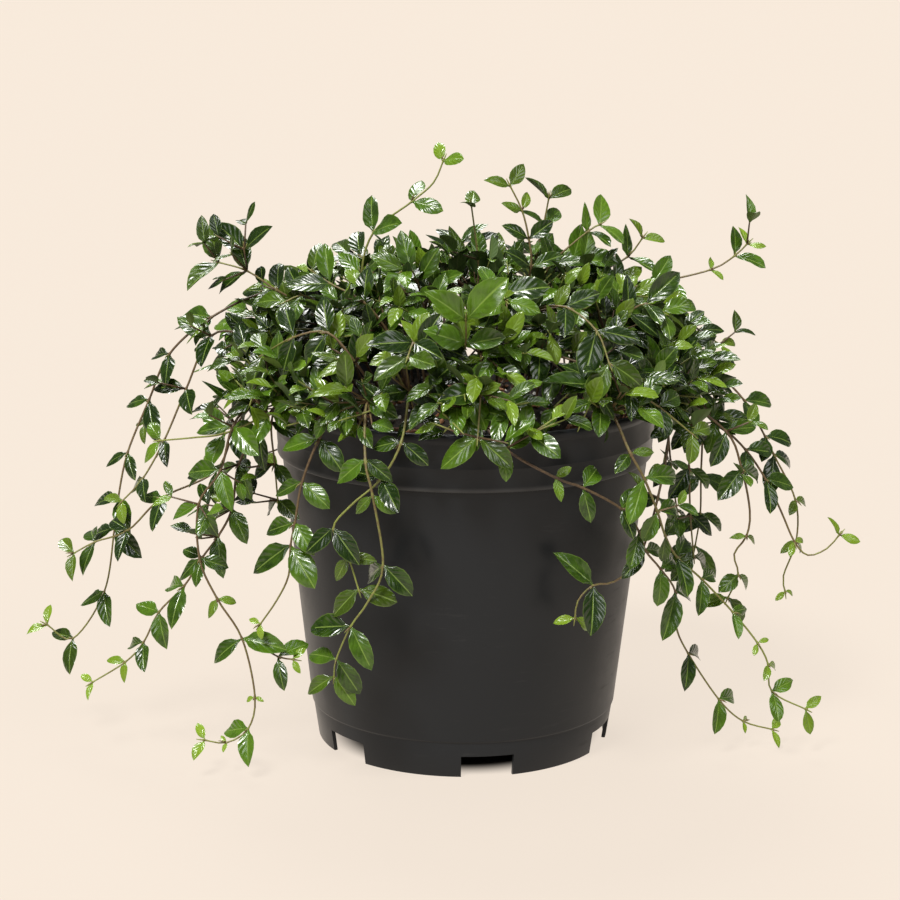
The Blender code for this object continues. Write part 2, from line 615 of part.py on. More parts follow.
@dataclass
class Stem:
    """A stem's smooth course, the half widths at its two ends, and the leaf lengths at its stations."""

    owner: str
    samples: list
    leaves: list
    thick: float
    thin: float
    forks: dict = field(default_factory=dict)

    def along(self, index):
        """Direction of growth at a sample."""
        last = len(self.samples) - 1
        ahead = self.samples[min(index + 1, last)][0]
        behind = self.samples[max(index - 1, 0)][0]
        return (ahead - behind).normalized()

    def half(self, index):
        """Half width at a sample."""
        return self.thick + (self.thin - self.thick) * index / (len(self.samples) - 1)

    def facing(self, index):
        """The way that the leaves of a sample turn: up, forward and away from the pot's axis."""
        place = self.samples[index][0]
        outward = Vector((place.x, place.y, 0.0))
        if outward.length > MM:
            outward.normalize()
        return (LIGHT + outward * OUTWARD).normalized()

    def spread(self, index):
        """The way that the leaf pair of a sample spreads across the stem."""
        side = self.along(index).cross(self.facing(index))
        if side.length < 0.05:
            side = Vector((1.0, 0.0, 0.0))
        return side.normalized()

    def bud(self):
        """The growing point, just past the last sample."""
        last = len(self.samples) - 1
        return self.samples[last][0] + self.along(last) * NODE_HALF * 3

    def tube(self, extra):
        """Vertices and faces of the bare stem, grown by extra."""
        last = len(self.samples) - 1
        verts = []
        for index, (place, _) in enumerate(self.samples):
            verts += square_ring(place, self.along(index), self.spread(index), self.half(index) + extra)
        verts += square_ring(self.bud(), self.along(last), self.spread(last), self.half(last) + extra)
        rings = len(self.samples) + 1
        faces = [(3, 2, 1, 0), tuple(range(4 * rings - 4, 4 * rings))]
        for ring in range(rings - 1):
            for corner in range(4):
                following = (corner + 1) % 4
                first = 4 * ring
                faces.append((first + corner, first + following,
                              first + following + 4, first + corner + 4))
        return verts, faces


def plan_stem(runner, ground, thicket):
    """Finds a course for a runner that is clear of what stands there, and marks it as taken."""
    points = [fit_to_pot(x, y, z) for x, y, z, _ in runner.route]
    points[0].z = ground.height(points[0].x, points[0].y) + 2 * GAP
    for amount in SWAYS:
        swayed = sway(points, amount)
        stem = Stem(runner.name, smooth_route(swayed), leaf_lengths(runner.route), STEM_ROOT, STEM_TIP)
        for place, route in runner.forks.items():
            shift = swayed[place] - points[place]
            branch = [swayed[place]] + [fit_to_pot(x, y, z) + shift for x, y, z, _ in route]
            stem.forks[place] = Stem(
                runner.name, smooth_route(branch), [0.0] + leaf_lengths(route),
                stem.half(place) * 0.8, STEM_TIP)
        courses = [stem, *stem.forks.values()]
        if all(thicket.is_clear(*course.tube(2 * GAP), skip="soil") for course in courses):
            break
    for course in courses:
        thicket.add(runner.name, *course.tube(0.0))
    return stem


def leaf_lengths(route):
    """The leaf lengths of a route, in metres."""
    return [leaf * MM for *_, leaf in route]


def leaf_choices(rng):
    """Turns of a leaf to try, best first: about the stem, towards its tip, and its share of full length."""
    lean = LEAF_LEAN + rng.uniform(-14, 14)
    roll = rng.uniform(-22, 22)
    for size in (1.0, 0.85, 0.7):
        for turn in (0, 18, -18, 34, -34):
            for tip in (0, 16, -22):
                yield roll + turn, lean + tip, size


def choose_leaf(stem, index, sign, length, thicket, rng):
    """Finds a leaf for one side of a joint that touches nothing, or returns None."""
    place = stem.samples[index][0]
    along = stem.along(index)
    facing = stem.facing(index)
    size = length * rng.uniform(0.9, 1.12)
    for roll, lean, share in leaf_choices(rng):
        side = Matrix.Rotation(math.radians(roll), 3, along) @ (stem.spread(index) * sign)
        tilt = math.radians(lean)
        heading = (side * math.cos(tilt) + along * math.sin(tilt)).normalized()
        normal = (facing - heading * facing.dot(heading)).normalized()
        leaf = Leaf(place + side * stem.half(index), heading, normal, size * share)
        if leaf.tip().z < LEAF_HALF_THICK + GAP:
            continue
        if not thicket.is_clear(*leaf.blade(0.0, GAP), skip=stem.owner):
            continue
        if thicket.is_clear(*leaf.blade(0.34, GAP / 2), owners={stem.owner}):
            thicket.add(stem.owner, *leaf.blade(0.0))
            return leaf
    return None


def grow_leaf(bm, face, leaf):
    """Draws a side face of a joint out into a leaf."""
    end, _ = extrude_to(bm, face, match_ring(face, leaf.waist()))
    point_off(bm, end, leaf.tip())


def grow_stem(bm, face, stem, thicket, rng):
    """Extrudes a stem from a face through all its samples, with its leaves and side stems."""
    last = len(stem.samples) - 1
    for index in range(1, last + 1):
        place, station = stem.samples[index]
        along = stem.along(index)
        half = stem.half(index)
        length = 0.0 if station is None else stem.leaves[station]
        if not length and station not in stem.forks:
            ring = square_ring(place, along, stem.spread(index), half)
            face, _ = extrude_to(bm, face, match_ring(face, ring))
            continue
        below = square_ring(place - along * NODE_HALF, along, stem.spread(index), half)
        above = square_ring(place + along * NODE_HALF, along, stem.spread(index), half)
        face, _ = extrude_to(bm, face, match_ring(face, below))
        face, sides = extrude_to(bm, face, match_ring(face, above))
        for sign in (1, -1) if length else ():
            leaf = choose_leaf(stem, index, sign, length, thicket, rng)
            if leaf:
                way = leaf.base - place
                side = max(sides, key=lambda item: way.dot(item.calc_center_median() - place))
                sides.remove(side)
                grow_leaf(bm, side, leaf)
        if station in stem.forks:
            fork = stem.forks[station]
            way = fork.samples[1][0] - place
            side = max(sides, key=lambda item: way.dot(item.calc_center_median() - place))
            grow_stem(bm, side, fork, thicket, rng)
    point_off(bm, face, stem.bud())


def grow_runner(stem, thicket, material):
    """Makes one runner as a single closed body."""
    rng = random.Random(stem.owner)
    start = stem.samples[0][0]
    along = stem.along(0)
    bm = bmesh.new()
    bmesh.ops.create_cube(bm, size=2 * stem.half(0))
    bmesh.ops.translate(bm, verts=bm.verts, vec=start + Vector((0, 0, stem.half(0))))
    top = max(bm.faces, key=lambda face: face.calc_center_median().z)
    ring = square_ring(start + along * 2.5 * stem.half(0), along, stem.spread(0), stem.half(0))
    top, _ = extrude_to(bm, top, match_ring(top, ring))
    grow_stem(bm, top, stem, thicket, rng)
    return add_object(stem.owner, bm, material)


# ---------------------------------------------------------------- assembly
def centre_on_ground(items):
    """Moves everything sideways until the origin is under the middle of its spread."""
    corners = []
    for item in items:
        shape = item.evaluated_get(bpy.context.evaluated_depsgraph_get())
        corners += [item.matrix_world @ Vector(corner) for corner in shape.bound_box]
    middle = [(min(c[axis] for c in corners) + max(c[axis] for c in corners)) / 2 for axis in range(2)]
    for item in bpy.data.objects:
        item.location = (-middle[0], -middle[1], 0.0)


def main():
    """Builds the pot, the mix, the bark and the runners."""
    clear_scene()
    plastic = make_material("pot_plastic", (0.018, 0.018, 0.02), 0.45)
    mix = make_material("potting_mix", (0.035, 0.022, 0.014), 0.95)
    bark = make_material("bark", (0.16, 0.07, 0.035), 0.85)
    foliage = make_material("foliage", (0.045, 0.13, 0.03), 0.32)

    pot = make_pot(plastic)
    soil = make_soil(mix)
    ground = Ground(soil)
    items = [pot, soil]
    items += [make_chip(index, chip, ground, bark) for index, chip in enumerate(BARK_CHIPS)]

    thicket = Thicket()
    for item in items:
        thicket.add_object(item)
    runners = LEFT + FRONT + RIGHT + TOP
    runners += [back_runner(index) for index in range(BACK_COUNT)]
    runners += [crown_runner(index) for index in range(CROWN_COUNT)]
    stems = [plan_stem(runner, ground, thicket) for runner in runners]
    items += [grow_runner(stem, thicket, foliage) for stem in stems]
    centre_on_ground(items)


main()
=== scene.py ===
"""Looks of a potted Asian jasmine: its nursery pot, its potting mix and the runners that fill it.

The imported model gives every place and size. Each runner's solid is read for the course of its stem and
the seat of each leaf, and the runner is drawn again with a round stem, leaf stalks, veined leaves, buds
and side twigs. Units are metres, +Z is up and the front is towards -Y.
"""

import logging
import math
import random
from dataclasses import dataclass, field
from enum import Enum
from itertools import product
from typing import Callable, Iterable, Optional, Union

import bmesh
import bpy
from bmesh.types import BMesh, BMFace, BMVert
from bpy.types import Material, NodeSocket, Object
from mathutils import Matrix, Quaternion, Vector, noise
from mathutils.geometry import interpolate_bezier


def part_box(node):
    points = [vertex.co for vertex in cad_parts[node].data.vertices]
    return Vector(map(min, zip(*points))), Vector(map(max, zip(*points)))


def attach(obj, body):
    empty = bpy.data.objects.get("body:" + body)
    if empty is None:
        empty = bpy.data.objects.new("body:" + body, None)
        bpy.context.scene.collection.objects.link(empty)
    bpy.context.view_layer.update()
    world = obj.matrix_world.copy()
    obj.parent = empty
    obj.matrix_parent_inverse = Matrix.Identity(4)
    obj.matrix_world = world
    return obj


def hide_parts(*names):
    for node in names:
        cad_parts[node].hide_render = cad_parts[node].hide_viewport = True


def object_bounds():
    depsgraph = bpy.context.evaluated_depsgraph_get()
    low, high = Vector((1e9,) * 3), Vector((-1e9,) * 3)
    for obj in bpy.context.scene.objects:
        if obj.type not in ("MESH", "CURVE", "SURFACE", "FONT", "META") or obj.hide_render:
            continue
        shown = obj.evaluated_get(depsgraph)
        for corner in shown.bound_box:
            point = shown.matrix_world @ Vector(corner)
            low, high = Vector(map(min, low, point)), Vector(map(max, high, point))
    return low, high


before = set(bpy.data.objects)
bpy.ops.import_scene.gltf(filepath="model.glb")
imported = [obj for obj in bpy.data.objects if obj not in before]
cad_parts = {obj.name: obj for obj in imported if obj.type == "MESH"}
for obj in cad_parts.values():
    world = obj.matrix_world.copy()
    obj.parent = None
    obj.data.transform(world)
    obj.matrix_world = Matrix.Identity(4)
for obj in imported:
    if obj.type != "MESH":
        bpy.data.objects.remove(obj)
CAD_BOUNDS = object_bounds()

MM = 0.001
UP = Vector((0.0, 0.0, 1.0))
BODY = "root"
Value = Union[NodeSocket, float, tuple]

log = logging.getLogger("jasmine")


# ---------------------------------------------------------------- drawing materials
class Sketch:
    """A material's node graph, drawn by short calls that return sockets."""

    def __init__(self, name: str) -> None:
        """Starts a Principled material.

        Args:
            name: the material's name.
        """
        self.material = bpy.data.materials.new(name)
        self.material.use_nodes = True
        self.tree = self.material.node_tree
        self.shader = self.tree.nodes["Principled BSDF"]

    def node(self, kind: str, **settings) -> bpy.types.Node:
        """Adds a node.

        Args:
            kind: the node's type without its ShaderNode prefix.
            settings: properties to set on it.

        Returns:
            The node.
        """
        item = self.tree.nodes.new("ShaderNode" + kind)
        for key, value in settings.items():
            setattr(item, key, value)
        return item

    def plug(self, socket: NodeSocket, value: Value) -> None:
        """Links a socket to another, or sets it.

        Args:
            socket: the input to fill.
            value: an output socket, a number or a colour of three numbers.
        """
        if isinstance(value, NodeSocket):
            self.tree.links.new(value, socket)
        elif isinstance(value, (tuple, list)) and len(value) == 3 and socket.type == "RGBA":
            socket.default_value = (*value, 1.0)
        else:
            socket.default_value = value

    def shade(self, **inputs: Value) -> None:
        """Fills the shader's inputs, named with underscores for spaces."""
        for key, value in inputs.items():
            self.plug(self.shader.inputs[key.replace("_", " ")], value)

    def maths(self, operation: str, *values: Value) -> NodeSocket:
        """Adds a Math node.

        Args:
            operation: its operation.
            values: sockets or numbers, in order.

        Returns:
            Its result.
        """
        item = self.node("Math", operation=operation)
        for socket, value in zip(item.inputs, values):
            self.plug(socket, value)
        return item.outputs[0]

    def times(self, first: Value, second: Value) -> NodeSocket:
        """The product of two values."""
        return self.maths("MULTIPLY", first, second)

    def minus(self, first: Value, second: Value) -> NodeSocket:
        """One value less another."""
        return self.maths("SUBTRACT", first, second)

    def split(self, vector: NodeSocket) -> bpy.types.bpy_prop_collection:
        """The three numbers of a vector."""
        item = self.node("SeparateXYZ")
        self.plug(item.inputs[0], vector)
        return item.outputs

    def band(self, value: Value, low: float, high: float, start: float = 0.0, end: float = 1.0) -> NodeSocket:
        """Maps a value smoothly from low..high to start..end.

        Args:
            value: the socket to map.
            low: where the result is start.
            high: where the result is end.
            start: result at and below low.
            end: result at and above high.

        Returns:
            The mapped socket.
        """
        item = self.node("MapRange", interpolation_type="SMOOTHSTEP")
        for socket, number in zip(item.inputs, (value, low, high, start, end)):
            self.plug(socket, number)
        return item.outputs[0]

    def blend(self, share: Value, first: Value, second: Value) -> NodeSocket:
        """Mixes two colours.

        Args:
            share: how much of the second.
            first: a colour or socket.
            second: a colour or socket.

        Returns:
            The mixed colour.
        """
        item = self.node("Mix", data_type="RGBA")
        self.plug(item.inputs[0], share)
        self.plug(item.inputs[6], first)
        self.plug(item.inputs[7], second)
        return item.outputs[2]

    def place(self) -> NodeSocket:
        """The point's object coordinates."""
        return self.node("TexCoord").outputs["Object"]

    def stretched(self, scale: tuple[float, float, float]) -> NodeSocket:
        """Stretches the object coordinates.

        Args:
            scale: by how much along X, Y and Z.

        Returns:
            The stretched coordinates.
        """
        item = self.node("Mapping")
        self.plug(item.inputs["Vector"], self.place())
        item.inputs["Scale"].default_value = scale
        return item.outputs[0]

    def attribute(self, name: str) -> NodeSocket:
        """A number that the mesh carries."""
        return self.node("Attribute", attribute_name=name).outputs["Fac"]

    def cloud(self, place: Value, scale: float, detail: float = 2.0, rough: float = 0.5) -> NodeSocket:
        """Noise at a place.

        Args:
            place: the coordinates to read it at.
            scale: its fineness.
            detail: its octaves.
            rough: how strong the finer octaves are.

        Returns:
            A value about 0.5.
        """
        item = self.node("TexNoise")
        for key, value in (("Vector", place), ("Scale", scale), ("Detail", detail), ("Roughness", rough)):
            self.plug(item.inputs[key], value)
        return item.outputs[0]

    def emboss(self, height: Value, strength: float, depth: float,
               under: Optional[NodeSocket] = None) -> NodeSocket:
        """Raises the surface by a height.

        Args:
            height: the height socket.
            strength: how much of the effect shows.
            depth: height of the full range, in metres.
            under: an earlier bump to add to.

        Returns:
            The bumped normal.
        """
        item = self.node("Bump")
        item.inputs["Strength"].default_value = strength
        item.inputs["Distance"].default_value = depth
        self.plug(item.inputs["Height"], height)
        if under is not None:
            self.plug(item.inputs["Normal"], under)
        return item.outputs[0]


@dataclass(frozen=True)
class SatinPlastic:
    """Black moulded plastic with a satin skin, faint mottling and scuffs."""

    colour: tuple = (0.0145, 0.0158, 0.0175)
    scuffed: tuple = (0.034, 0.034, 0.034)
    # colour of the painted highlight line along the rim band's foot
    edge_highlight: tuple = (0.052, 0.052, 0.052)
    roughness: tuple = (0.30, 0.44)
    specular: float = 0.22

    def make(self, rim: float) -> Material:
        """Draws the material.

        Args:
            rim: height of the rim band's foot, along whose edge a pale line is painted as a highlight.

        Returns:
            The material.
        """
        sketch = Sketch("satin_plastic")
        mottle = sketch.cloud(sketch.place(), 24.0, 4.0, 0.6)
        rub = sketch.cloud(sketch.stretched((60.0, 60.0, 420.0)), 1.0, 5.0, 0.65)
        scuff = sketch.times(sketch.band(rub, 0.58, 0.74), sketch.band(mottle, 0.42, 0.66))
        colour = sketch.blend(sketch.times(scuff, 0.55), self.colour, self.scuffed)
        # Painted highlight: a pale line just above the rim band's foot, for the light that its edge catches,
        # varied by the mottling.
        above = sketch.minus(sketch.split(sketch.place())[2], rim)
        edge = sketch.times(sketch.band(above, -0.3 * MM, 0.3 * MM),
                            sketch.band(above, 0.6 * MM, 2.2 * MM, 1.0, 0.0))
        highlight_share = sketch.times(edge, sketch.band(mottle, 0.25, 0.6, 0.4, 1.0))
        colour = sketch.blend(highlight_share, colour, self.edge_highlight)
        rough = sketch.band(mottle, 0.3, 0.7, *self.roughness)
        skin = sketch.emboss(sketch.cloud(sketch.place(), 1400.0, 2.0), 0.10, 0.2 * MM)
        wave = sketch.emboss(sketch.cloud(sketch.stretched((18.0, 18.0, 7.0)), 1.0), 0.25, 1.2 * MM, skin)
        rough = sketch.maths("ADD", rough, sketch.times(scuff, 0.15))
        sketch.shade(Base_Color=colour, Roughness=rough, Specular_IOR_Level=self.specular, Normal=wave)
        return sketch.material


@dataclass(frozen=True)
class Crumb:
    """Rough, broken stuff of two colours: potting mix, bark or perlite."""

    name: str
    dark: tuple
    light: tuple
    grain: float
    relief: float
    roughness: float

    def make(self) -> Material:
        """Returns the material."""
        sketch = Sketch(self.name)
        place = sketch.place()
        speck = sketch.cloud(place, self.grain, 5.0, 0.7)
        patch = sketch.cloud(place, self.grain * 0.22, 3.0)
        share = sketch.band(sketch.times(speck, patch), 0.16, 0.38)
        colour = sketch.blend(share, self.dark, self.light)
        relief = sketch.emboss(sketch.cloud(place, self.grain * 1.6, 6.0, 0.7), 0.9, self.relief)
        sketch.shade(Base_Color=colour, Roughness=self.roughness, Normal=relief)
        return sketch.material


class LeafFace(Enum):
    """The two faces of a leaf."""

    UPPER = "leaf_upper"
    UNDER = "leaf_under"


@dataclass(frozen=True)
class LeafSkin:
    """One face of a leaf: green by its age, with a midrib, arching side veins and quilting between them."""

    face: LeafFace
    deep: tuple
    fresh: tuple
    young: tuple
    vein: tuple
    gloss: tuple
    quilt: float
    coat: float
    veins: float = 5.6
    rake: float = 1.9
    faintness: float = 0.16
    specular: float = 0.22
    coat_roughness: float = 0.19

    def make(self) -> Material:
        """Returns the material."""
        sketch = Sketch(self.face.value)
        across, along = self.leaf_place(sketch)
        taper = sketch.times(across, sketch.band(along, 0.1, 1.0, 1.0, 0.6))
        rib = sketch.band(taper, 0.015, 0.075, 1.0, 0.0)
        lean = sketch.times(sketch.maths("POWER", across, 0.8), self.rake)
        phase = sketch.minus(sketch.times(along, self.veins), lean)
        beat = sketch.maths("ABSOLUTE", sketch.minus(sketch.maths("FRACT", phase), 0.5))
        side = sketch.times(sketch.band(beat, 0.40, 0.5), sketch.band(across, 0.5, 0.9, 1.0, 0.0))
        lines = sketch.maths("MAXIMUM", rib, sketch.times(side, self.faintness))

        place = sketch.place()
        patch = sketch.cloud(place, 200.0, 3.0)
        tone = sketch.maths("ADD", sketch.attribute("tone"), sketch.band(patch, 0.3, 0.7, -0.15, 0.15))
        youth = sketch.attribute("youth")
        green = sketch.blend(sketch.band(tone, 0.0, 1.0), self.deep, self.fresh)
        green = sketch.blend(sketch.band(youth, 0.10, 0.95), green, self.young)
        # Paler margin: partly the leaf's own pale rim, partly a painted highlight where the curved edge
        # catches light.
        green = sketch.blend(sketch.band(across, 0.88, 1.0, 0.0, 0.30), green, self.vein)
        colour = sketch.blend(sketch.times(lines, 0.60), green, self.vein)

        pillow = sketch.times(sketch.band(beat, 0.5, 0.0), sketch.band(across, 0.0, 0.4, 0.0, 0.52))
        swell = sketch.times(sketch.cloud(place, 170.0, 1.0), 1.1)
        height = sketch.minus(sketch.maths("ADD", pillow, swell), sketch.times(rib, 0.4))
        relief = sketch.emboss(height, self.quilt, 0.6 * MM)
        rough = sketch.band(sketch.cloud(place, 420.0, 2.0), 0.3, 0.7, *self.gloss)
        sketch.shade(Base_Color=colour, Roughness=rough, Specular_IOR_Level=self.specular, Normal=relief,
                     Coat_Weight=self.coat, Coat_Roughness=self.coat_roughness, Coat_Normal=relief)
        return sketch.material

    @staticmethod
    def leaf_place(sketch: Sketch) -> tuple:
        """Where a point lies on its leaf.

        Args:
            sketch: the material being drawn.

        Returns:
            The distance from the midrib, 0 to 1 at the margin, and from the stalk, 0 to 1 at the point.
        """
        across, along, _ = sketch.split(sketch.node("UVMap", uv_map=LeafPattern.UV).outputs[0])
        return sketch.maths("ABSOLUTE", sketch.times(sketch.minus(across, 0.5), 2.0)), along


@dataclass(frozen=True)
class StemBark:
    """Stem skin: woody red-brown where it is old, and olive green at the growing end."""

    old: tuple = (0.036, 0.017, 0.010)
    middle: tuple = (0.125, 0.080, 0.034)
    young: tuple = (0.200, 0.230, 0.045)

    def make(self) -> Material:
        """Returns the material."""
        sketch = Sketch("stem_bark")
        place = sketch.place()
        streak = sketch.cloud(place, 700.0, 4.0, 0.6)
        youth = sketch.maths("ADD", sketch.attribute("youth"), sketch.band(streak, 0.3, 0.7, -0.12, 0.12))
        hue = sketch.blend(sketch.band(youth, 0.05, 0.6), self.old, self.middle)
        hue = sketch.blend(sketch.band(youth, 0.5, 0.95), hue, self.young)
        bark = sketch.emboss(streak, 0.4, 0.25 * MM)
        sketch.shade(Base_Color=hue, Roughness=sketch.band(streak, 0.3, 0.7, 0.42, 0.62), Normal=bark)
        return sketch.material


@dataclass(frozen=True)
class PaperSweep:
    """The pale studio floor, which glows so that shadows stay faint; its glow is taken away under the pot as
    a painted shadow and dimmed a little round the pot's foot as painted contact shade.
    """

    centre: Vector
    foot: float
    colour: tuple = (0.862, 0.758, 0.655)
    glow: float = 0.92
    contact_shade_reach: float = 2.3

    def make(self) -> Material:
        """Returns the material."""
        sketch = Sketch("paper_sweep")
        away = sketch.node("VectorMath", operation="DISTANCE")
        sketch.plug(away.inputs[0], sketch.place())
        sketch.plug(away.inputs[1], self.centre)
        away = away.outputs["Value"]
        # Painted shadow: no glow under the pot, and a glow 2 % lower in a ring round its foot as painted
        # contact shade.
        outside_painted_shadow = sketch.band(away, self.foot * 0.74, self.foot * 0.97)
        painted_contact_shade = sketch.band(away, self.foot, self.foot * self.contact_shade_reach, 0.98, 1.0)
        tooth = sketch.cloud(sketch.place(), 40.0, 3.0)
        matt = tuple(channel * (1 - self.glow) for channel in self.colour)
        colour = sketch.blend(sketch.band(tooth, 0.2, 0.8), matt, tuple(channel * 0.99 for channel in matt))
        glow = sketch.times(sketch.times(outside_painted_shadow, painted_contact_shade), self.glow)
        sketch.shade(Base_Color=colour, Roughness=1.0, Specular_IOR_Level=0.0,
                     Emission_Color=self.colour, Emission_Strength=glow)
        return sketch.material


# ---------------------------------------------------------------- pieces
def finish_mesh(name: str, bm: BMesh) -> bpy.types.Mesh:
    """Writes a bmesh to a new mesh, and frees it.

    Args:
        name: the new mesh's name.
        bm: the bmesh.

    Returns:
        The new mesh.
    """
    mesh = bpy.data.meshes.new(name)
    bm.to_mesh(mesh)
    bm.free()
    return mesh


def put(name: str, data: bpy.types.ID) -> Object:
    """Puts a new object in the scene, at the origin."""
    item = bpy.data.objects.new(name, data)
    bpy.context.scene.collection.objects.link(item)
    return item


def add_piece(name: str, bm: BMesh, materials: list, slot: str, *nodes: str) -> Object:
    """Makes a piece of a finished bmesh, attaches it to the body and hides the CAD nodes that it stands for.

    Args:
        name: the piece's name.
        bm: its mesh, which is used up.
        materials: its materials, in the order of its faces' material numbers.
        slot: not used.
        nodes: the CAD nodes that it stands for.

    Returns:
        The piece.
    """
    mesh = finish_mesh(name, bm)
    for material in materials:
        mesh.materials.append(material)
    piece = put(name, mesh)
    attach(piece, BODY)
    if nodes:
        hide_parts(*nodes)
    return piece


def smooth_below(bm: BMesh, degrees: float) -> None:
    """Shades a mesh smooth, with a crease wherever its faces meet at more than an angle.

    Args:
        bm: the mesh.
        degrees: the angle.
    """
    for face in bm.faces:
        face.smooth = True
    for edge in bm.edges:
        edge.smooth = len(edge.link_faces) == 2 and edge.calc_face_angle(0.0) < math.radians(degrees)


def turn_profile(profile: list, segments: int) -> BMesh:
    """Turns a half section round the Z axis.

    Args:
        profile: its (radius, height) points.
        segments: facets in the full turn.

    Returns:
        A closed mesh with its faces pointing out.
    """
    bm = bmesh.new()
    points = [bm.verts.new((radius, 0.0, height)) for radius, height in profile]
    edges = [bm.edges.new(pair) for pair in zip(points, points[1:])]
    bmesh.ops.spin(bm, geom=points + edges, cent=(0, 0, 0), axis=(0, 0, 1), angle=math.tau,
                   steps=segments, use_merge=True, use_duplicate=False)
    bmesh.ops.remove_doubles(bm, verts=bm.verts, dist=0.01 * MM)
    bmesh.ops.recalc_face_normals(bm, faces=bm.faces)
    return bm


@dataclass
class NurseryPot:
    """The pot: one moulding with a stepped rim band, a raised floor, six feet and drain slots."""

    wall: float = 1.6 * MM
    band_height: float = 24.0 * MM
    band_step: float = 1.6 * MM
    lip_proud: float = 0.9 * MM
    lip_depth: float = 3.4 * MM
    band_flare: float = 1.8 * MM
    foot_radius: float = 62.9 * MM
    heel_height: float = 15.5 * MM
    heel_flare: float = 2.2 * MM
    heel_step: float = 0.7 * MM
    floor_height: float = 10.4 * MM
    floor_thick: float = 1.6 * MM
    notch_count: int = 6
    notch_angle: float = 20.0
    notch_height: float = 9.4 * MM
    notch_turn: float = -80.5
    slot_depth: float = 7.0 * MM
    slot_angle: float = 14.0
    slot_inset: float = 1.5 * MM
    bead: float = 0.22 * MM
    edge_round: float = 0.30 * MM
    segments: int = 180
    axis: Vector = field(init=False)
    rim_radius: float = field(init=False)
    height: float = field(init=False)

    def __post_init__(self) -> None:
        """Takes the pot's place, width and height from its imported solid."""
        low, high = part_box("pot")
        self.axis = Vector(((low.x + high.x) / 2, (low.y + high.y) / 2, 0.0))
        self.rim_radius = (high.x - low.x) / 2
        self.height = high.z

    def side_radius(self, height: float) -> float:
        """Measures the side between the groove and the band.

        Args:
            height: where on the side.

        Returns:
            Its outer radius there.
        """
        low = self.foot_radius + self.heel_flare + self.heel_step
        high = self.rim_radius - self.lip_proud - self.band_flare - self.band_step
        share = (height - self.heel_height) / (self.height - self.band_height - self.heel_height)
        return low + (high - low) * share

    def section(self) -> list:
        """Draws the pot's half section.

        Returns:
            (radius, height) points, from the floor's middle underneath to its middle above.
        """
        band_low = self.height - self.band_height
        lip_low = self.height - self.lip_depth
        band_top = self.rim_radius - self.lip_proud
        band_foot = band_top - self.band_flare
        band_mid = band_low + self.band_height * 0.40
        mid_radius = band_foot + self.band_flare * 0.36
        floor_top = self.floor_height + self.floor_thick
        heel_inner = self.foot_radius - self.wall
        side_top = band_low - self.band_step
        lip_roll = self.lip_depth * 0.3
        return [
            (0.0, self.floor_height),
            (heel_inner + self.heel_flare * self.floor_height / self.heel_height, self.floor_height),
            (heel_inner, 0.0),
            (self.foot_radius, 0.0),
            (self.foot_radius + self.heel_flare, self.heel_height - self.heel_step),
            (self.side_radius(self.heel_height) - self.heel_step, self.heel_height),
            (self.side_radius(self.heel_height), self.heel_height + self.heel_step),
            (self.side_radius(self.height / 2), self.height / 2),
            (self.side_radius(side_top), side_top),
            (self.side_radius(side_top), band_low - self.bead),
            (band_foot, band_low - self.bead),
            (band_foot + 2 * self.bead, band_low + 2 * self.bead),
            (band_foot + self.bead, band_low + self.band_height * 0.12),
            (mid_radius, band_mid - 2 * self.bead),
            (mid_radius + self.bead, band_mid),
            (mid_radius + self.bead / 2, band_mid + 2 * self.bead),
            (band_top - self.bead, lip_low - self.lip_proud),
            (self.rim_radius - self.bead, lip_low + self.lip_proud / 2),
            (self.rim_radius, lip_low + lip_roll),
            (self.rim_radius, self.height - self.lip_proud),
            (self.rim_radius - self.lip_proud * 0.3, self.height - self.lip_proud * 0.3),
            (self.rim_radius - self.lip_proud, self.height),
            (self.rim_radius - self.lip_proud - self.wall, self.height),
            (band_top - self.wall - self.lip_proud / 2, lip_low - self.lip_proud),
            (band_foot - self.wall, band_low + self.band_step / 2),
            (self.side_radius(side_top) - self.wall, side_top),
            (self.side_radius(floor_top) - self.wall, floor_top),
            (0.0, floor_top),
        ]

    @staticmethod
    def wedge(inner: float, outer: float, low: float, high: float, angle: float, bearing: float) -> Object:
        """A block that covers part of a ring.

        Args:
            inner: its inner radius.
            outer: its outer radius.
            low: its lowest height.
            high: its highest height.
            angle: the degrees that it takes.
            bearing: degrees from +X to its middle.

        Returns:
            The block as an object.
        """
        bm = bmesh.new()
        bmesh.ops.create_cube(bm, size=1.0)
        half = math.radians(angle / 2)
        for vert in bm.verts:
            radius = outer if vert.co.x > 0 else inner
            turn = half if vert.co.y > 0 else -half
            vert.co = (radius * math.cos(turn), radius * math.sin(turn), high if vert.co.z > 0 else low)
        bmesh.ops.rotate(bm, verts=bm.verts, matrix=Matrix.Rotation(math.radians(bearing), 3, "Z"))
        bmesh.ops.recalc_face_normals(bm, faces=bm.faces)
        return put("wedge", finish_mesh("wedge", bm))

    def wedges(self) -> list:
        """Makes the blocks that cut the notches and the drain slots.

        Returns:
            The blocks.
        """
        blocks = []
        slot_outer = self.side_radius(self.floor_height) - self.wall - self.slot_inset
        for index in range(self.notch_count):
            bearing = self.notch_turn + index * 360.0 / self.notch_count
            blocks.append(self.wedge(
                self.foot_radius - 4 * self.wall, self.foot_radius + 4 * self.wall,
                -self.wall, self.notch_height, self.notch_angle, bearing))
            blocks.append(self.wedge(
                slot_outer - self.slot_depth, slot_outer, self.floor_height - self.floor_thick,
                self.floor_height + 2 * self.floor_thick, self.slot_angle, bearing))
        return blocks

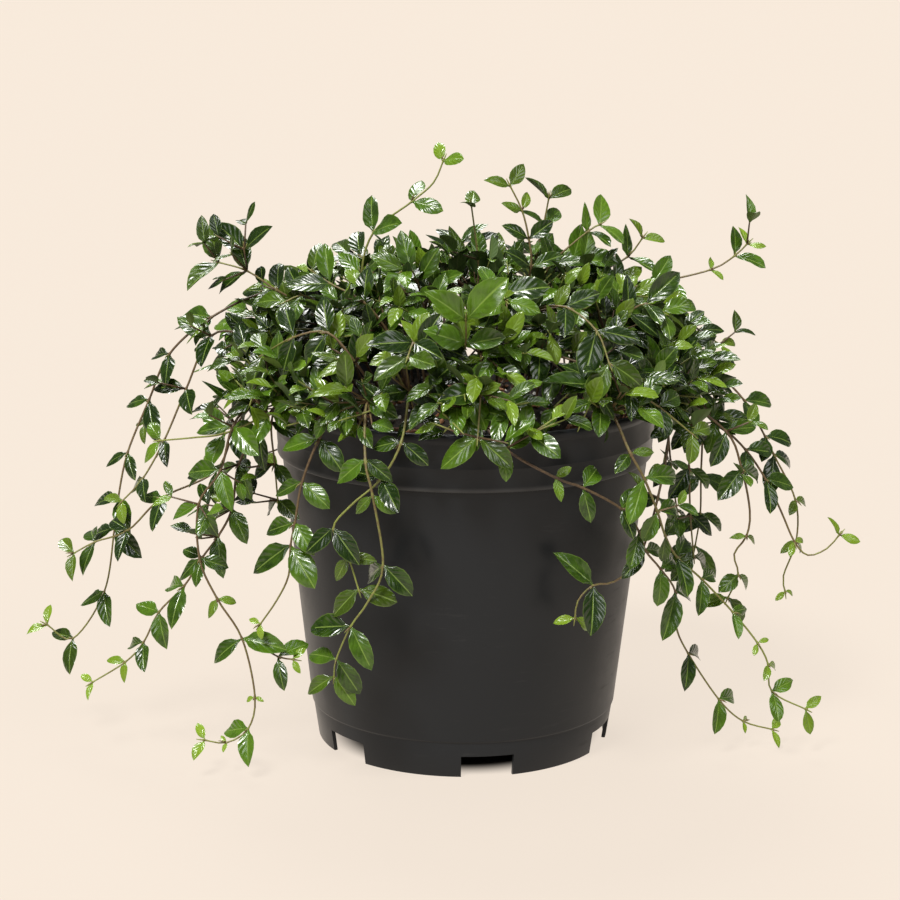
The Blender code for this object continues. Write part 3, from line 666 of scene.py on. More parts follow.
    def build(self, plastic: Material) -> Object:
        """Turns, rounds and cuts the pot.

        Args:
            plastic: its material.

        Returns:
            The pot's piece.
        """
        bm = turn_profile(self.section(), self.segments)
        creases = [edge for edge in bm.edges if edge.calc_face_angle(0.0) > math.radians(28)]
        bmesh.ops.bevel(bm, geom=creases, offset=self.edge_round, affect="EDGES", segments=2,
                        profile=0.5, material=-1, clamp_overlap=True)
        blank = put("blank", finish_mesh("blank", bm))
        blocks = self.wedges()
        for block in blocks:
            cut = blank.modifiers.new("cut", "BOOLEAN")
            cut.operation = "DIFFERENCE"
            cut.solver = "EXACT"
            cut.object = block
        shape = bpy.data.meshes.new_from_object(
            blank.evaluated_get(bpy.context.evaluated_depsgraph_get()))
        bm = bmesh.new()
        bm.from_mesh(shape)
        for item in (blank, *blocks):
            bpy.data.objects.remove(item, do_unlink=True)
        bmesh.ops.translate(bm, verts=bm.verts, vec=self.axis)
        smooth_below(bm, 32)
        return add_piece("nursery_pot", bm, [plastic], "pot_plastic", "pot")


@dataclass
class PottingMix:
    """The mix in the pot: a crumbly top with bark bits and grains of perlite."""

    pot: NurseryPot
    gap: float = 0.3 * MM
    crown: float = 3.0 * MM
    roughness: float = 1.3 * MM
    rings: int = 34
    segments: int = 120
    bark_bits: int = 170
    perlite_grains: int = 150
    edge: float = field(init=False)
    reach: float = field(init=False)

    def __post_init__(self) -> None:
        """Takes the mix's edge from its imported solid."""
        low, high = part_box("soil")
        self.reach = (high.x - low.x) / 2
        self.edge = high.z - self.crown - 0.4 * MM

    def top(self, x: float, y: float) -> float:
        """Measures the mix's crumbly top.

        Args:
            x: distance from the pot's axis along X.
            y: distance along Y.

        Returns:
            The height of the top there.
        """
        share = min(1.0, math.hypot(x, y) / self.reach)
        spot = Vector((x, y, 0.0)) / (7 * MM)
        lumps = noise.noise(spot) + 0.6 * noise.noise(spot * 3.1) + 0.35 * noise.noise(spot * 7.3)
        calm = min(1.0, (1.0 - share) * 8.0)
        return self.edge + self.crown * (1.0 - share) + self.roughness * lumps * calm

    def section(self) -> list:
        """Draws the mix's half section.

        Returns:
            (radius, height) points, from the middle underneath to the middle of the top.
        """
        pot = self.pot
        bottom = pot.floor_height + pot.floor_thick + self.gap
        side_top = pot.height - pot.band_height - pot.band_step
        clearance = pot.wall + 2 * self.gap
        profile = [
            (0.0, bottom),
            (pot.side_radius(bottom) - clearance, bottom),
            (pot.side_radius(side_top) - clearance, side_top),
            (self.reach - pot.band_flare, side_top + 3 * pot.band_step),
            (self.reach, self.edge),
        ]
        for ring in range(self.rings - 1, -1, -1):
            profile.append((self.reach * ring / self.rings, self.edge))
        return profile

    def build(self, mix: Material, bark: Material, perlite: Material) -> None:
        """Makes the mix, the bark bits and the perlite.

        Args:
            mix: the mix's material.
            bark: the bark's material.
            perlite: the perlite's material.
        """
        bm = turn_profile(self.section(), self.segments)
        for vert in bm.verts:
            if vert.co.z > self.edge - 0.1 * MM and math.hypot(vert.co.x, vert.co.y) < self.reach - 0.1 * MM:
                vert.co.z = self.top(vert.co.x, vert.co.y)
        bmesh.ops.translate(bm, verts=bm.verts, vec=self.pot.axis)
        smooth_below(bm, 60)
        add_piece("potting_mix", bm, [mix], "potting_mix", "soil")
        self.scatter("bark_bits", self.bark_bits, self.bark_bit, bark, "bark")
        self.scatter("perlite", self.perlite_grains, self.grain, perlite, "potting_mix")
        for name in sorted(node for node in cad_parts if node.startswith("bark_chip")):
            self.splinter(name, bark)

    def scatter(self, name: str, count: int, shape: Callable[[random.Random], BMesh],
                material: Material, slot: str) -> None:
        """Strews one kind of bit over the mix.

        Args:
            name: the piece's name.
            count: how many bits.
            shape: makes one bit round the origin from a random source.
            material: the bits' material.
            slot: a slot name, passed on to add_piece.
        """
        rng = random.Random(name)
        bm = bmesh.new()
        for _ in range(count):
            reach = (self.reach - 3 * MM) * math.sqrt(rng.uniform(0.02, 1.0))
            bearing = rng.uniform(0, math.tau)
            x, y = reach * math.cos(bearing), reach * math.sin(bearing)
            bit = shape(rng)
            lift = Vector((x, y, self.top(x, y) + 0.25 * MM)) + self.pot.axis
            turn = Quaternion((rng.uniform(-1, 1), rng.uniform(-1, 1), 3.0), rng.uniform(0, math.tau))
            bmesh.ops.transform(bit, matrix=Matrix.LocRotScale(lift, turn, None), verts=bit.verts)
            join(bm, bit)
        add_piece(name, bm, [material], slot)

    @staticmethod
    def bark_bit(rng: random.Random) -> BMesh:
        """Makes a flat, worn flake of bark.

        Args:
            rng: source of its variety.

        Returns:
            The flake, round the origin.
        """
        bit = bmesh.new()
        bmesh.ops.create_cube(bit, size=1.0)
        for vert in bit.verts:
            vert.co += Vector([rng.uniform(-0.2, 0.2) for _ in range(3)])
        size = rng.uniform(2.0, 5.5) * MM
        bmesh.ops.scale(bit, verts=bit.verts, vec=(size, size * rng.uniform(0.35, 0.6), size * 0.28))
        bmesh.ops.bevel(bit, geom=bit.edges[:], offset=size * 0.06, affect="EDGES", segments=1,
                        profile=0.5, material=-1, clamp_overlap=True)
        return bit

    @staticmethod
    def grain(rng: random.Random) -> BMesh:
        """Makes a lumpy grain of perlite.

        Args:
            rng: source of its variety.

        Returns:
            The grain, round the origin.
        """
        bit = bmesh.new()
        bmesh.ops.create_icosphere(bit, subdivisions=1, radius=rng.uniform(0.5, 1.25) * MM)
        for vert in bit.verts:
            vert.co *= rng.uniform(0.72, 1.15)
        for face in bit.faces:
            face.smooth = True
        return bit

    def splinter(self, node: str, bark: Material) -> None:
        """Draws a large bark chip again, with worn edges and a split grain.

        Args:
            node: its CAD node.
            bark: its material.
        """
        bm = bmesh.new()
        bm.from_mesh(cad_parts[node].data)
        bmesh.ops.remove_doubles(bm, verts=bm.verts, dist=0.01 * MM)
        bmesh.ops.join_triangles(bm, faces=bm.faces, angle_face_threshold=0.1, angle_shape_threshold=0.1)
        bmesh.ops.bevel(bm, geom=bm.edges[:], offset=0.35 * MM, affect="EDGES", segments=2,
                        profile=0.5, material=-1, clamp_overlap=True)
        bmesh.ops.subdivide_edges(bm, edges=bm.edges[:], cuts=2, use_grid_fill=True)
        for vert in bm.verts:
            spot = vert.co / (1.6 * MM)
            vert.co.z += 0.22 * MM * noise.noise(spot)
            vert.co.x += 0.15 * MM * noise.noise(spot + UP * 9)
        smooth_below(bm, 40)
        add_piece(node.replace("chip", "splinter"), bm, [bark], "bark", node)


def join(bm: BMesh, part: BMesh) -> None:
    """Adds a mesh to another and frees it.

    Args:
        bm: the mesh that grows.
        part: the mesh that is added.
    """
    mesh = finish_mesh("part", part)
    bm.from_mesh(mesh)
    bpy.data.meshes.remove(mesh)


# ---------------------------------------------------------------- reading the runners
@dataclass
class LeafSeat:
    """Where a leaf grows: its base, its point, the way its face turns, and its width."""

    base: Vector
    tip: Vector
    normal: Vector
    width: float
    youth: float = 0.0

    @property
    def length(self) -> float:
        """From base to point."""
        return (self.tip - self.base).length

    @property
    def heading(self) -> Vector:
        """The way that the leaf points."""
        return (self.tip - self.base).normalized()

    @property
    def middle(self) -> Vector:
        """The middle of the blade."""
        return self.base.lerp(self.tip, 0.55)


@dataclass
class Joint:
    """A joint of a stem: its place, the stem's direction and half width there, and its share of the stem."""

    place: Vector
    along: Vector
    half: float
    share: float


@dataclass
class StemCourse:
    """A stem's course: places and half widths from its foot to its growing end, and which are joints."""

    NECK = 1.5 * MM
    NECK_SHARE = 0.3
    TAPER = 0.8

    places: list
    halves: list
    joined: list

    def along(self, index: int) -> Vector:
        """Direction of growth at a place."""
        ahead = self.places[min(index + 1, len(self.places) - 1)]
        behind = self.places[max(index - 1, 0)]
        return (ahead - behind).normalized()

    def joints(self) -> list:
        """The stem's joints."""
        last = len(self.places) - 1
        return [Joint(self.places[index], self.along(index), self.halves[index], index / last)
                for index, joined in enumerate(self.joined) if joined]

    def smooth(self, step: float, swell: float) -> list:
        """Reads a smooth curve through the places.

        Args:
            step: the greatest distance between its points.
            swell: how much thicker a joint is.

        Returns:
            (place, radius, share) from the foot to the end.
        """
        points = [2 * self.places[0] - self.places[1], *self.places, 2 * self.places[-1] - self.places[-2]]
        total = len(self.places) - 1
        course = []
        for index in range(total):
            before, start, stop, after = points[index:index + 4]
            gap = (stop - start).length
            count = max(2, math.ceil(gap / step))
            curve = interpolate_bezier(start, start + (stop - before) / 6, stop - (after - start) / 6,
                                       stop, count + 1)
            neck = min(self.NECK_SHARE, self.NECK / max(gap, MM)) * count * self.TAPER
            for turn, place in enumerate(curve[:-1]):
                share = turn / count
                half = self.halves[index] + (self.halves[index + 1] - self.halves[index]) * share
                if turn == 0 and self.joined[index]:
                    course.append((Vector(place), half * swell, index / total))
                    course.append((start.lerp(Vector(curve[1]), neck), half, index / total))
                else:
                    course.append((Vector(place), half, (index + share) / total))
                if turn == count - 1 and self.joined[index + 1]:
                    course.append((stop.lerp(Vector(place), neck), half, (index + 1) / total))
        course.append((self.places[-1], self.halves[-1] * self.TAPER, 1.0))
        return course


class RunnerSolid:
    """A runner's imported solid, read back into stems and leaves."""

    CORNERS = 4
    MERGE = 0.01 * MM
    BLADE_THICKNESS = 1.0 * MM
    BLADE_TAPER = 0.6
    JOINT_LENGTH = 3.0 * MM
    ROOT_DEPTH = 12 * MM
    ROOT_SECTIONS = 3
    FACES_DOWN = -0.9999

    def __init__(self, node: str, pot: NurseryPot) -> None:
        """Reads the solid.

        Args:
            node: the runner's CAD node.
            pot: the pot that it stands in.
        """
        bm = bmesh.new()
        bm.from_mesh(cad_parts[node].data)
        bmesh.ops.remove_doubles(bm, verts=bm.verts, dist=self.MERGE)
        bm.normal_update()
        bm.verts.index_update()
        self.leaf_verts = set()
        self.leaves = self.find_leaves(bm)
        self.stems = self.trace(bm, pot)
        bm.free()

    @staticmethod
    def others(vert: BMVert) -> list:
        """The vertices that share an edge with one."""
        return [edge.other_vert(vert) for edge in vert.link_edges]

    def find_leaves(self, bm: BMesh) -> list:
        """Finds each blade by its point: four edges that end on a wide, thin section.

        Args:
            bm: the runner's merged mesh.

        Returns:
            The leaf seats.
        """
        seats = []
        for tip in bm.verts:
            ring = self.others(tip)
            if len(ring) != self.CORNERS:
                continue
            linked = set(self.others(ring[0]))
            facing = [vert for vert in ring[1:] if vert not in linked]
            if len(facing) != 1:
                continue
            pairs = [(ring[0], facing[0]), tuple(v for v in ring[1:] if v is not facing[0])]
            thin, wide = sorted(pairs, key=lambda pair: (pair[0].co - pair[1].co).length)
            width = (wide[0].co - wide[1].co).length
            waist = self.centre(ring)
            thick = (thin[0].co - thin[1].co).length
            if thick > self.BLADE_THICKNESS or width < self.BLADE_THICKNESS:
                continue
            if (tip.co - waist).length < self.BLADE_TAPER * width:
                continue
            foot = dict.fromkeys(vert for corner in ring for vert in self.others(corner)
                                 if vert not in ring and vert is not tip)
            base = self.centre(foot)
            normal = (thin[0].co - thin[1].co).normalized()
            if normal.dot(waist - base.lerp(tip.co, 0.45)) < 0:
                normal = -normal
            seats.append(LeafSeat(base, tip.co.copy(), normal, width))
            self.leaf_verts.update({tip, *ring})
        return seats

    def trace(self, bm: BMesh, pot: NurseryPot) -> list:
        """Follows the stem's sections from the mix to every growing end.

        Args:
            bm: the runner's merged mesh.
            pot: the pot that it stands in.

        Returns:
            The stem courses, the main one first.
        """
        flat = [(face, face.calc_center_median()) for face in bm.faces if face.normal.z < self.FACES_DOWN]
        flat = [(face, middle) for face, middle in flat if middle.z > pot.height - self.ROOT_DEPTH
                and (middle.xy - pot.axis.xy).length < pot.rim_radius]
        lowest = min(middle.z for _, middle in flat)
        root = list(dict.fromkeys(vert for face, _ in flat for vert in face.verts
                                  if vert.co.z < lowest + 0.1 * MM))
        self.seen = set(root) | self.leaf_verts
        courses = []
        starts = [(None, root)]
        while starts:
            joint, ring = starts.pop(0)
            courses.append(self.follow(joint, ring, starts))
        return courses

    def follow(self, joint: Optional[tuple], ring: list, starts: list) -> StemCourse:
        """Follows one stem.

        Args:
            joint: the place and half width of the joint that it grows from, or None at the mix.
            ring: its first section.
            starts: where side stems that are found on the way are noted.

        Returns:
            The stem's course.
        """
        rings = [ring]
        behind = []
        while True:
            near = {other for vert in (*rings[-1], *behind) for other in self.others(vert)} - self.seen
            groups = self.group(near)
            centre = self.centre(rings[-1])
            ahead = [group for group in groups if self.touches(group, rings[-1])]
            whole = [group for group in ahead if len(group) > self.CORNERS]
            if whole:
                nearest = sorted(whole[0], key=lambda vert: (vert.co - centre).length)[:self.CORNERS]
                self.seen.update(nearest)
                behind = rings[-1]
                rings.append(nearest)
                continue
            groups = [group for group in groups if len(group) == self.CORNERS]
            main = [group for group in groups if group in ahead and not self.touches(group, behind)]
            for group in groups:
                if group not in main and behind:
                    self.seen.update(group)
                    starts.append(((self.centre(behind + rings[-1]), self.half(rings[-1])), group))
            if not main:
                break
            self.seen.update(main[0])
            behind = rings[-1]
            rings.append(main[0])
        for group in self.group({o for v in rings[-1] for o in self.others(v)} - self.seen):
            self.seen.update(group)
            rings.append(group)
        return self.course(joint, rings)

    def course(self, joint: Optional[tuple], rings: list) -> StemCourse:
        """Turns sections into a course, with the two sections of a joint as one place.

        Args:
            joint: the place and half width of the joint that the stem grows from, or None at the mix.
            rings: the stem's sections.

        Returns:
            The stem's course.
        """
        centres = [self.centre(ring) for ring in rings]
        halves = [self.half(ring) for ring in rings]
        places, widths, joined = [], [], []
        if joint:
            places.append(joint[0])
            widths.append(joint[1] * 0.8)
            joined.append(False)
        index = 0
        first_joint = 0 if joint else self.ROOT_SECTIONS
        while index < len(rings):
            close = (index + 1 < len(rings) and index >= first_joint
                     and (centres[index + 1] - centres[index]).length < self.JOINT_LENGTH
                     and len(rings[index + 1]) == self.CORNERS)
            if close:
                places.append((centres[index] + centres[index + 1]) / 2)
            else:
                places.append(centres[index])
            widths.append(halves[index] or widths[-1] * 0.6)
            joined.append(close)
            index += 2 if close else 1
        return StemCourse(places, widths, joined)

    def group(self, verts: set) -> list:
        """Splits vertices into the groups that are joined by edges.

        Args:
            verts: the vertices.

        Returns:
            The groups, in the order of the vertices' numbers.
        """
        left = set(verts)
        groups = []
        while left:
            todo = [min(left, key=lambda vert: vert.index)]
            left.remove(todo[0])
            group = []
            while todo:
                vert = todo.pop()
                group.append(vert)
                near = [other for other in self.others(vert) if other in left]
                left.difference_update(near)
                todo.extend(near)
            groups.append(group)
        return groups

    def touches(self, group: list, ring: list) -> bool:
        """Says whether any vertex of the group shares an edge with the ring."""
        return any(other in ring for vert in group for other in self.others(vert))

    @staticmethod
    def centre(ring: Iterable[BMVert]) -> Vector:
        """Middle of a section's vertices."""
        return sum((vert.co for vert in ring), Vector()) / len(ring)

    def half(self, ring: list) -> float:
        """Half width of a square section, or 0 for a point."""
        centre = self.centre(ring)
        return sum((vert.co - centre).length for vert in ring) / len(ring) / math.sqrt(2)


# ---------------------------------------------------------------- drawing the runners
class StemHue(Enum):
    """How far along a stem its red-brown gives way to green, as (start, end) of its youth."""

    WOODY = (0.05, 0.85)
    TAWNY = (0.45, 0.95)
    GREEN = (0.55, 1.0)


def section(place: Vector, along: Vector, side: Vector, radius: float) -> Matrix:
    """The frame of a stem's section.

    Args:
        place: its middle.
        along: the stem's direction.
        side: a direction across the stem.
        radius: the stem's radius.

    Returns:
        A matrix that takes a unit section in the XY plane there.
    """
    across = (side - along * side.dot(along)).normalized()
    other = along.cross(across)
    columns = Matrix((across * radius, other * radius, along)).transposed().to_4x4()
    columns.translation = place
    return columns


def grow_tube(course: list, sides: int, youth: tuple) -> BMesh:
    """Extrudes a round section along a course.

    Args:
        course: (place, radius, share) from foot to end.
        sides: corners of the section.
        youth: the stem's youth at its foot and at its end.

    Returns:
        The closed tube.
    """
    bm = bmesh.new()
    layer = bm.verts.layers.float.new("youth")
    bm.verts.layers.float.new("tone")
    bmesh.ops.create_cone(bm, cap_ends=True, cap_tris=False, segments=sides, radius1=1, radius2=1, depth=1)
    places = [place for place, _, _ in course]
    aheads = [(after - before).normalized() for before, after in zip(places, places[1:])]
    aheads.append(aheads[-1])
    side = aheads[0].orthogonal()
    frames = []
    for index, (place, radius, _) in enumerate(course):
        along = (aheads[index] + aheads[max(index - 1, 0)]).normalized()
        side = (side - along * side.dot(along)).normalized()
        frames.append(section(place, along, side, radius))
    foot = [vert for vert in bm.verts if vert.co.z < 0]
    head = [vert for vert in bm.verts if vert.co.z > 0]
    bmesh.ops.transform(bm, matrix=frames[0] @ Matrix.Translation((0, 0, 0.5)), verts=foot)
    bmesh.ops.transform(bm, matrix=frames[1] @ Matrix.Translation((0, 0, -0.5)), verts=head)
    end = next(face for face in head[0].link_faces if all(vert in head for vert in face.verts))
    for vert in bm.verts:
        vert[layer] = youth[0]
    for index in range(2, len(course)):
        end = bmesh.ops.extrude_discrete_faces(bm, faces=[end])["faces"][0]
        bmesh.ops.transform(bm, matrix=frames[index] @ frames[index - 1].inverted(), verts=end.verts)
        for vert in end.verts:
            vert[layer] = youth[0] + (youth[1] - youth[0]) * course[index][2]
    for face in bm.faces:
        face.smooth = True
    return bm


@dataclass
class LeafPattern:
    """A leaf of length 1 along +Y, with its upper face towards +Z: a stalk, a folded blade and a point."""

    UV = "leaf"
    ROWS = (0.0, 0.10, 0.20, 0.36, 0.54, 0.72, 0.87, 1.0)
    ACROSS = 4
    STALK_THICK = 0.034
    BLADE_THICK = 0.012

    fold: float
    arch: float
    curl: float
    twist: float
    wave: float
    blunt: float
    sharp: float
    mesh: bpy.types.Mesh = field(init=False)

    def __post_init__(self) -> None:
        """Models the leaf."""
        bm = bmesh.new()
        uv = bm.loops.layers.uv.new(self.UV)
        bm.verts.layers.float.new("youth")
        bm.verts.layers.float.new("tone")
        bmesh.ops.create_grid(bm, x_segments=self.ACROSS, y_segments=len(self.ROWS) - 1, size=0.5)
        for vert in bm.verts:
            row = round((vert.co.y + 0.5) * (len(self.ROWS) - 1))
            vert.co.y = self.ROWS[row]
        for face in bm.faces:
            for loop in face.loops:
                loop[uv].uv = (loop.vert.co.x + 0.5, loop.vert.co.y)
        rim = {vert for edge in bm.edges if edge.is_boundary for vert in edge.verts}
        copy = bmesh.ops.duplicate(bm, geom=bm.verts[:] + bm.edges[:] + bm.faces[:])
        under = [item for item in copy["geom"] if isinstance(item, BMFace)]
        bmesh.ops.reverse_faces(bm, faces=under)
        for face in bm.faces:
            face.smooth = True
        for face in under:
            face.material_index = 1
        lower = {vert for face in under for vert in face.verts}
        sources = {twin: source for source, twin in copy["vert_map"].items() if twin in lower}
        for vert in bm.verts:
            if vert not in rim and sources.get(vert) not in rim:
                thick = self.STALK_THICK if vert.co.y < self.ROWS[2] else self.BLADE_THICK
                vert.co.z += -thick if vert in lower else thick
        bmesh.ops.remove_doubles(bm, verts=bm.verts, dist=1e-5)
        for edge in bm.edges:
            edge.smooth = abs(edge.link_faces[0].material_index - edge.link_faces[1].material_index) < 1
        for vert in bm.verts:
            vert.co = self.shape(vert.co.x * 2, vert.co.y, vert.co.z)
        bmesh.ops.remove_doubles(bm, verts=bm.verts, dist=1e-4)
        self.mesh = finish_mesh("leaf_pattern", bm)

    def half_width(self, along: float) -> float:
        """Measures a blade whose full width is 1.

        Args:
            along: 0 to 1 from stalk to point.

        Returns:
            Its half width there.
        """
        stalk = self.ROWS[1] * 0.8
        reach = max(0.0, (along - stalk) / (1 - stalk))
        widest = self.blunt / (self.blunt + self.sharp)
        blade = (reach / widest) ** self.blunt * ((1 - reach) / (1 - widest)) ** self.sharp
        return max(0.5 * blade, 0.04 * (1 - along))

    def shape(self, across: float, along: float, lift: float) -> Vector:
        """Bends a flat place of the blade.

        Args:
            across: -1 to 1 from margin to margin.
            along: 0 to 1 from stalk to point.
            lift: height above the blade's middle layer.

        Returns:
            The place on the leaf.
        """
        half = self.half_width(along)
        x = across * half
        z = lift + self.fold * abs(x) - self.curl * across * across * half
        z += self.arch * math.sin(math.pi * along) + self.wave * math.sin(9 * along) * across * abs(across)
        turn = self.twist * (along - 0.4)
        return Vector((x * math.cos(turn) - z * math.sin(turn) * 0.5, along, z + x * math.sin(turn)))


class Foliage:
    """All leaves: their patterns, and where they are, so that twigs fill the gaps between them."""

    PATTERNS = 9
    CELL = 8 * MM
    OVER_LIP = 2.5 * MM
    INSIDE_LIP = 7 * MM
    OUTSIDE_LIP = 2 * MM
    OFF_SIDE = 1.5 * MM

    def __init__(self, pot: NurseryPot) -> None:
        """Models the leaf patterns.

        Args:
            pot: the pot, which leaves keep clear of.
        """
        rng = random.Random("leaf patterns")
        self.pot = pot
        self.patterns = [
            LeafPattern(rng.uniform(0.10, 0.45), rng.uniform(0.01, 0.09), rng.uniform(0.05, 0.3),
                        rng.uniform(-0.5, 0.5), rng.uniform(-0.03, 0.03), rng.uniform(0.50, 0.70),
                        rng.uniform(0.66, 0.92))
            for _ in range(self.PATTERNS)]
        self.cells = {}

    def cell(self, place: Vector) -> tuple:
        """The cell of the spacing grid that a place lies in."""
        return tuple(int(math.floor(number / self.CELL)) for number in place)

    def settle(self, seat: LeafSeat) -> None:
        """Notes a leaf's place."""
        self.cells.setdefault(self.cell(seat.middle), []).append(seat.middle)

    def has_room(self, seat: LeafSeat, spacing: float) -> bool:
        """Says whether a leaf fits: off its neighbours, the pot, the mix and the ground.

        Args:
            seat: the leaf.
            spacing: the least distance between the middles of two leaves.

        Returns:
            True if it fits.
        """
        low, high = CAD_BOUNDS
        side = seat.heading.cross(seat.normal) * seat.width / 2
        for place in (seat.tip, seat.middle, seat.middle + side, seat.middle - side):
            if any(not low[axis] + MM < place[axis] < high[axis] - MM for axis in range(3)):
                return False
            reach = (place.xy - self.pot.axis.xy).length
            over = place.z - self.pot.height
            off = reach - self.pot.rim_radius
            on_lip = over < self.OVER_LIP and -self.INSIDE_LIP < off < self.OUTSIDE_LIP
            if on_lip or (over < -MM and off < self.OFF_SIDE):
                return False
        home = self.cell(seat.middle)
        near = (tuple(number + step for number, step in zip(home, steps))
                for steps in product((-1, 0, 1), repeat=3))
        return all((other - seat.middle).length >= spacing
                   for cell in near for other in self.cells.get(cell, ()))

    def draw(self, bm: BMesh, seat: LeafSeat, rng: random.Random, tone: float) -> None:
        """Adds a leaf to a mesh.

        Args:
            bm: the mesh.
            seat: where the leaf grows.
            rng: source of its variety.
            tone: how light its green is, 0 to 1.
        """
        pattern = rng.choice(self.patterns)
        heading = seat.heading
        across = heading.cross(seat.normal).normalized()
        normal = across.cross(heading)
        columns = Matrix((across * seat.width, heading * seat.length, normal * seat.length))
        matrix = columns.transposed().to_4x4()
        matrix.translation = seat.base
        count = len(bm.verts)
        bm.from_mesh(pattern.mesh)
        bm.verts.ensure_lookup_table()
        fresh = bm.verts[count:]
        bmesh.ops.transform(bm, matrix=matrix, verts=fresh)
        youth_layer = bm.verts.layers.float["youth"]
        tone_layer = bm.verts.layers.float["tone"]
        shade = min(1.0, max(0.0, tone + rng.uniform(-0.3, 0.3)))
        for vert in fresh:
            vert[youth_layer] = seat.youth
            vert[tone_layer] = shade


@dataclass
class Dome:
    """The mound that the side twigs fill, as a half ellipsoid over the pot's lip."""

    pot: NurseryPot
    wide: float = 108.0 * MM
    deep: float = 100.0 * MM
    tall: float = 60.0 * MM

    def depth(self, place: Vector) -> float:
        """Where a place is in the dome: 0 at its middle, 1 on its surface."""
        off = place - self.pot.axis - UP * self.pot.height
        return Vector((off.x / self.wide, off.y / self.deep, off.z / self.tall)).length


@dataclass(frozen=True)
class TwigHabit:
    """How side twigs grow in one part of the plant."""

    pairs: tuple
    leaf: tuple
    hangs: bool


class TwigPlace(Enum):
    """The two kinds of side twig: those of the mound, and the short ones that hang beside the pot."""

    MOUND = TwigHabit((2, 3, 3), (14.0, 19.0), False)
    BESIDE = TwigHabit((1,), (10.0, 15.0), True)


@dataclass
class Draft:
    """A runner being drawn: its meshes, its source of variety, and the hues of its stem and leaves."""

    rng: random.Random
    hue: tuple
    tone: float
    stems: BMesh = field(default_factory=bmesh.new)
    leaves: BMesh = field(default_factory=bmesh.new)

    def jitter(self, most: float) -> Vector:
        """A random vector, with no number beyond the most either way."""
        return Vector([self.rng.uniform(-most, most) for _ in range(3)])


@dataclass
class Twig:
    """A side twig: its places from the joint outwards, and the directions that its leaves follow."""

    places: list
    way: Vector
    outward: Vector
    lowest: float


